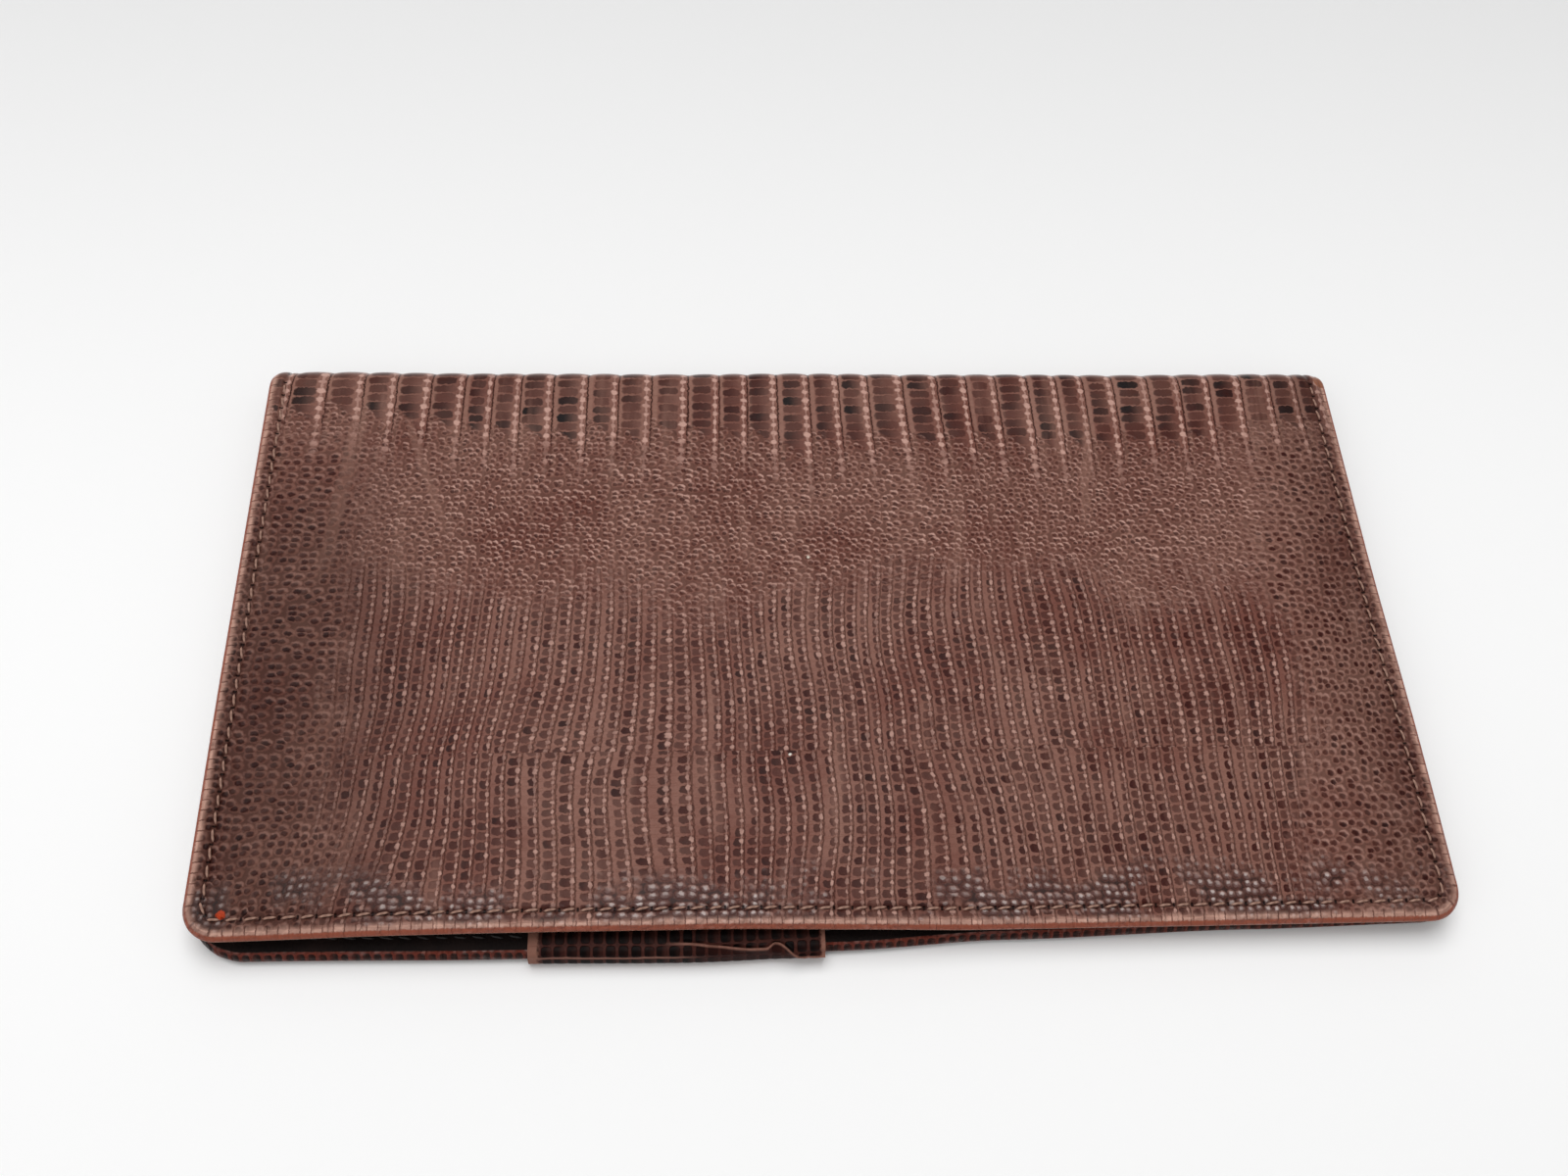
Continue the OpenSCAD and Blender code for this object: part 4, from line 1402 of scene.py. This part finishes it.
@dataclass
class CoverAssembly:
    """All that one cover is made of, with its half of the spine."""

    cover: Cover
    groups: Groups
    calf: bpy.types.Material
    calf_binding: bpy.types.Material
    lining: bpy.types.Material
    board: bpy.types.Material
    interfacing: bpy.types.Material
    thread: bpy.types.Material
    bobbin: bpy.types.Material

    def hide(self) -> None:
        """The outer hide with its turned edge."""
        side = self.cover.side.value
        obj = CoverHide(self.cover).build(f"{side}_hide")
        # On the back cover the edge takes darker crest, nose and lip colours and near-black scale ends: painted shade,
        # as this edge lies under the upper cover
        finish = HideFinish(f"lizard_hide_{side}", crest="4a231c", nose="6c2e22", lip="2a120e", edge_dark="060202",
                            edge_scales=0.95, lip_from=9.5)
        if self.cover.side is Side.FRONT:
            finish = HideFinish(f"lizard_hide_{side}", blemishes=(
                Blemish(5.6, 3.4, 0.75, "a8360f"), Blemish(88.6, 58.6, 0.35, "cfc4b4"), Blemish(84.6, 25.4, 0.30, "e4ddd2"),
                Blemish(179.2, 93.0, 1.3, "8c5a45")), folds=(
                Fold(15.6, 12.0, 42.0, -0.08, 1.4), Fold(24.0, 14.0, 34.0, 0.36, 0.9), Fold(137.0, 13.0, 34.0, -0.16, 0.9)))
        material = finish.make(self.groups, self.cover.reach)
        dress(obj, material, [f"{side}_skin", f"{side}_hem", "spine_skin", "spine_hem"])
        bend_over_spine(obj, self.cover)

    def inner_face(self, d: Array) -> Array:
        """Depth of the cover's inner face beside the seam: the hem, or a pocket's panel where one lies on it."""
        s = self.cover.sizes
        front = self.cover.side is Side.FRONT
        depth = s.front_pocket if front else s.back_pocket
        face = np.where(d < depth, s.panel[1], s.hem[1])
        return np.where((d < s.ticket) & front, s.panel[1] + s.ticket_top, face)

    def seams(self) -> None:
        """The seam's thread on the outer face and on the inner one."""
        side, s = self.cover.side.value, self.cover.sizes
        sunk = 0.36 if self.cover.side is Side.BACK else 0.16
        outer = Seam(self.cover).build(f"{side}_seam_outside", lambda x, d: np.full_like(x, sunk), 0.16,
                                       self.cover.flat)
        dress(outer, self.thread, [f"{side}_seam"])
        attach(outer, self.cover.body)
        inner = Seam(self.cover).build(f"{side}_seam_inside", lambda x, d: self.inner_face(d), 0.04,
                                       self.cover.flat, outward=1.0)
        dress(inner, self.bobbin, [f"{side}_seam"])
        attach(inner, self.cover.body)

    def linings(self) -> None:
        """The stiffening board, the spine's interfacing and the lining cloth."""
        side, s, cover = self.cover.side.value, self.cover.sizes, self.cover
        board = Panel(cover, 1.2, rounded_start(s, 1.2), level(cover.flat - 0.4), s.board, rows=30).build(f"{side}_board")
        dress(board, self.board, [f"{side}_board"])
        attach(board, cover.body)
        stiff = Panel(cover, 1.6, level(cover.flat + 0.1), level(cover.reach), s.board, rows=14)
        stiff_obj = stiff.build(f"{side}_spine_interfacing")
        dress(stiff_obj, self.interfacing, ["spine_interfacing"])
        bend_over_spine(stiff_obj, cover)
        cloth = Panel(cover, 1.2, rounded_start(s, 1.2), level(cover.reach), s.lining, rows=110)
        cloth_obj = cloth.build(f"{side}_lining")
        dress(cloth_obj, self.lining, [f"{side}_lining", "spine_lining"])
        bend_over_spine(cloth_obj, cover)

    def pocket(self) -> None:
        """The passport pocket's panel and the binding on its mouth."""
        side, s, cover = self.cover.side.value, self.cover.sizes, self.cover
        depth = s.front_pocket if cover.side is Side.FRONT else s.back_pocket
        mouth = notched_mouth(s, depth, 0.0)
        panel = Panel(cover, 1.0, rounded_start(s, 1.0), mouth, s.panel, rows=70, columns=241).build(f"{side}_pocket")
        dress(panel, self.calf, [f"{side}_pocket"])
        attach(panel, cover.body)
        strip_depth = (s.panel[1], s.panel[1] + s.binding)
        strip = Panel(cover, 1.0, notched_mouth(s, depth, s.binding_width), mouth, strip_depth, rows=7, columns=241)
        strip_obj = strip.build(f"{side}_pocket_binding")
        dress(strip_obj, self.calf_binding, [f"{side}_pocket_binding"])
        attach(strip_obj, cover.body)

    def ticket_pocket(self) -> None:
        """The shallow pocket across the front cover's panel."""
        s, cover = self.cover.sizes, self.cover
        face = s.panel[1] + s.ticket_top
        panel = Panel(cover, 1.0, rounded_start(s, 1.0), level(s.ticket), (s.panel[1], face)).build("ticket_pocket")
        dress(panel, self.calf, ["ticket_pocket"])
        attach(panel, cover.body)
        strip = Panel(cover, 1.0, level(s.ticket - s.binding_width), level(s.ticket), (face, face + s.binding), rows=7)
        strip_obj = strip.build("ticket_binding")
        dress(strip_obj, self.calf_binding, ["ticket_binding"])
        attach(strip_obj, cover.body)

    def build(self) -> None:
        """Builds the whole cover."""
        self.hide()
        self.seams()
        self.linings()
        self.pocket()
        if self.cover.side is Side.FRONT:
            self.ticket_pocket()


def build_tab(sizes: Sizes, groups: Groups, lining: bpy.types.Material) -> None:
    """The closing tab's face and lining, built in their folded shape and with their transforms baked."""
    tab = Tab(sizes)
    face = tab.build("tab_face_hide", under=False)
    dress(face, TabFinish().make(groups, tab), ["tab_face", "tab_root"])
    under = tab.build("tab_lining_cloth", under=True)
    dress(under, lining, ["tab_lining"])
    for piece in (face, under):
        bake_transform(piece)


# ---------------------------------------------------------------- the stage

@dataclass(frozen=True)
class View:
    """The camera, as a handheld one above the front edge: angles in degrees, place in mm."""

    pitch: float = 61.6
    yaw: float = 6.92
    roll: float = 5.73
    place: tuple[float, float, float] = (-18.2, -98.9, 202.7)
    focal_share: float = 1453 / 1600
    sensor: float = 36.0

    def build(self) -> None:
        """Makes the camera and sets it as the scene's own."""
        pitch, yaw, roll = (math.radians(a) for a in (self.pitch, self.yaw, self.roll))
        ahead = Vector((math.sin(yaw) * math.cos(pitch), math.cos(yaw) * math.cos(pitch), -math.sin(pitch)))
        right = ahead.cross(Vector((0, 0, 1))).normalized()
        up = right.cross(ahead)
        right, up = (math.cos(roll) * right + math.sin(roll) * up, math.cos(roll) * up - math.sin(roll) * right)
        data = bpy.data.cameras.new("camera")
        data.sensor_width = self.sensor
        data.lens = self.sensor * self.focal_share
        data.clip_start, data.clip_end = 0.005, 20.0
        camera = bpy.data.objects.new("camera", data)
        turn = Matrix((right, up, -ahead)).transposed().to_4x4()
        camera.matrix_world = Matrix.Translation(Vector(self.place) * MM) @ turn
        bpy.context.scene.collection.objects.link(camera)
        bpy.context.scene.camera = camera


@dataclass(frozen=True)
class Stage:
    """A pale sweep under the holder, painted darker towards the back as shade, and soft light from above and behind."""

    width: float = 3.0
    rise_at: float = 0.62
    floor: str = "fafafa"
    # the colour that the sweep darkens to at the back: painted shade
    far_painted_shade: str = "d8d8d8"
    sky: float = 0.45

    def sweep(self) -> None:
        """The floor, which rises behind the holder as a quarter circle into a wall."""
        radius = 0.5
        bend = np.linspace(0, math.pi / 2, 24)
        y = np.concatenate([[-2.0, 0.0], self.rise_at + radius * np.sin(bend), [self.rise_at + radius]])
        z = np.concatenate([[0.0, 0.0], radius - radius * np.cos(bend), [2.0]])
        x = np.array([-self.width, self.width])
        points = np.stack([np.repeat(x, len(y)), np.tile(y, 2), np.tile(z, 2)], axis=-1)
        index = np.arange(len(points)).reshape(2, -1)
        mesh = bpy.data.meshes.new("sweep")
        mesh.from_pydata(points.tolist(), [], grid_faces(index)[:, ::-1].tolist())
        mesh.polygons.foreach_set("use_smooth", np.ones(len(mesh.polygons), bool))
        obj = bpy.data.objects.new("sweep", mesh)
        bpy.context.scene.collection.objects.link(obj)
        material, graph, shader = new_material("sweep_paper")
        tone = graph.noise(graph.place(), 3.0, 2.0)
        _, y, _ = graph.split(graph.place())
        colour = graph.mix(tone * 0.2, paint(self.floor), paint("f6f6f5"))
        # the sweep darkens towards the back: painted shade for the light's falloff
        graph.feed(shader.inputs["Base Color"], graph.mix(y.ease(-0.02, 0.24), colour, paint(self.far_painted_shade)))
        shader.inputs["Roughness"].default_value = 0.9
        shader.inputs["Specular IOR Level"].default_value = 0.2
        mesh.materials.append(material)

    def lamp(self, name: str, place: Sequence[float], aim: Sequence[float], size: float, power: float) -> None:
        """A square area lamp, turned towards a point; lengths in metres and power in watts."""
        data = bpy.data.lights.new(name, "AREA")
        data.shape, data.size, data.energy = "SQUARE", size, power
        obj = bpy.data.objects.new(name, data)
        obj.location = place
        obj.rotation_mode = "QUATERNION"
        obj.rotation_quaternion = (Vector(aim) - Vector(place)).to_track_quat("-Z", "Y")
        bpy.context.scene.collection.objects.link(obj)

    def build(self) -> None:
        """Makes the sweep, the lamps and the sky, and sets the plain view transform."""
        self.sweep()
        self.lamp("window", (-0.10, 0.42, 1.25), (0.0, 0.0, 0.0), 1.0, 11.1)
        self.lamp("fill", (-0.9, -0.6, 0.9), (0.0, 0.0, 0.0), 1.0, 2.3)
        world = bpy.data.worlds.new("sky")
        world.use_nodes = True
        back = world.node_tree.nodes["Background"]
        back.inputs["Color"].default_value = (1.0, 1.0, 1.0, 1.0)
        back.inputs["Strength"].default_value = self.sky
        bpy.context.scene.world = world
        bpy.context.scene.view_settings.view_transform = "Standard"


def main() -> None:
    logging.basicConfig(level=logging.INFO, format="%(message)s")
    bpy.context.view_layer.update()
    View().build()
    sizes, pattern = Sizes.from_frame(), HidePattern()
    groups = Groups(pattern)
    calf = CalfFinish("pocket_calf").make(groups)
    binding = CalfFinish("binding_calf", base="1a1110", pale="33241f", crease_at=0.9).make(groups)
    lining = LiningFinish().make(groups)
    tab_lining = LiningFinish("tab_lining_cloth").make(groups, mark="strap")
    board = BoardFinish("stiffening_board").make(groups)
    interfacing = BoardFinish("spine_interfacing", base="b0a68e", fleck="8f8670").make(groups)
    thread = ThreadFinish().make()
    bobbin = ThreadFinish("bobbin_thread", light="1c1210", dark="0c0706").make()
    for side in Side:
        CoverAssembly(Cover(side, sizes), groups, calf, binding, lining, board, interfacing, thread, bobbin).build()
    build_tab(sizes, groups, tab_lining)
    Stage().build()


if __name__ == "__main__":
    main()
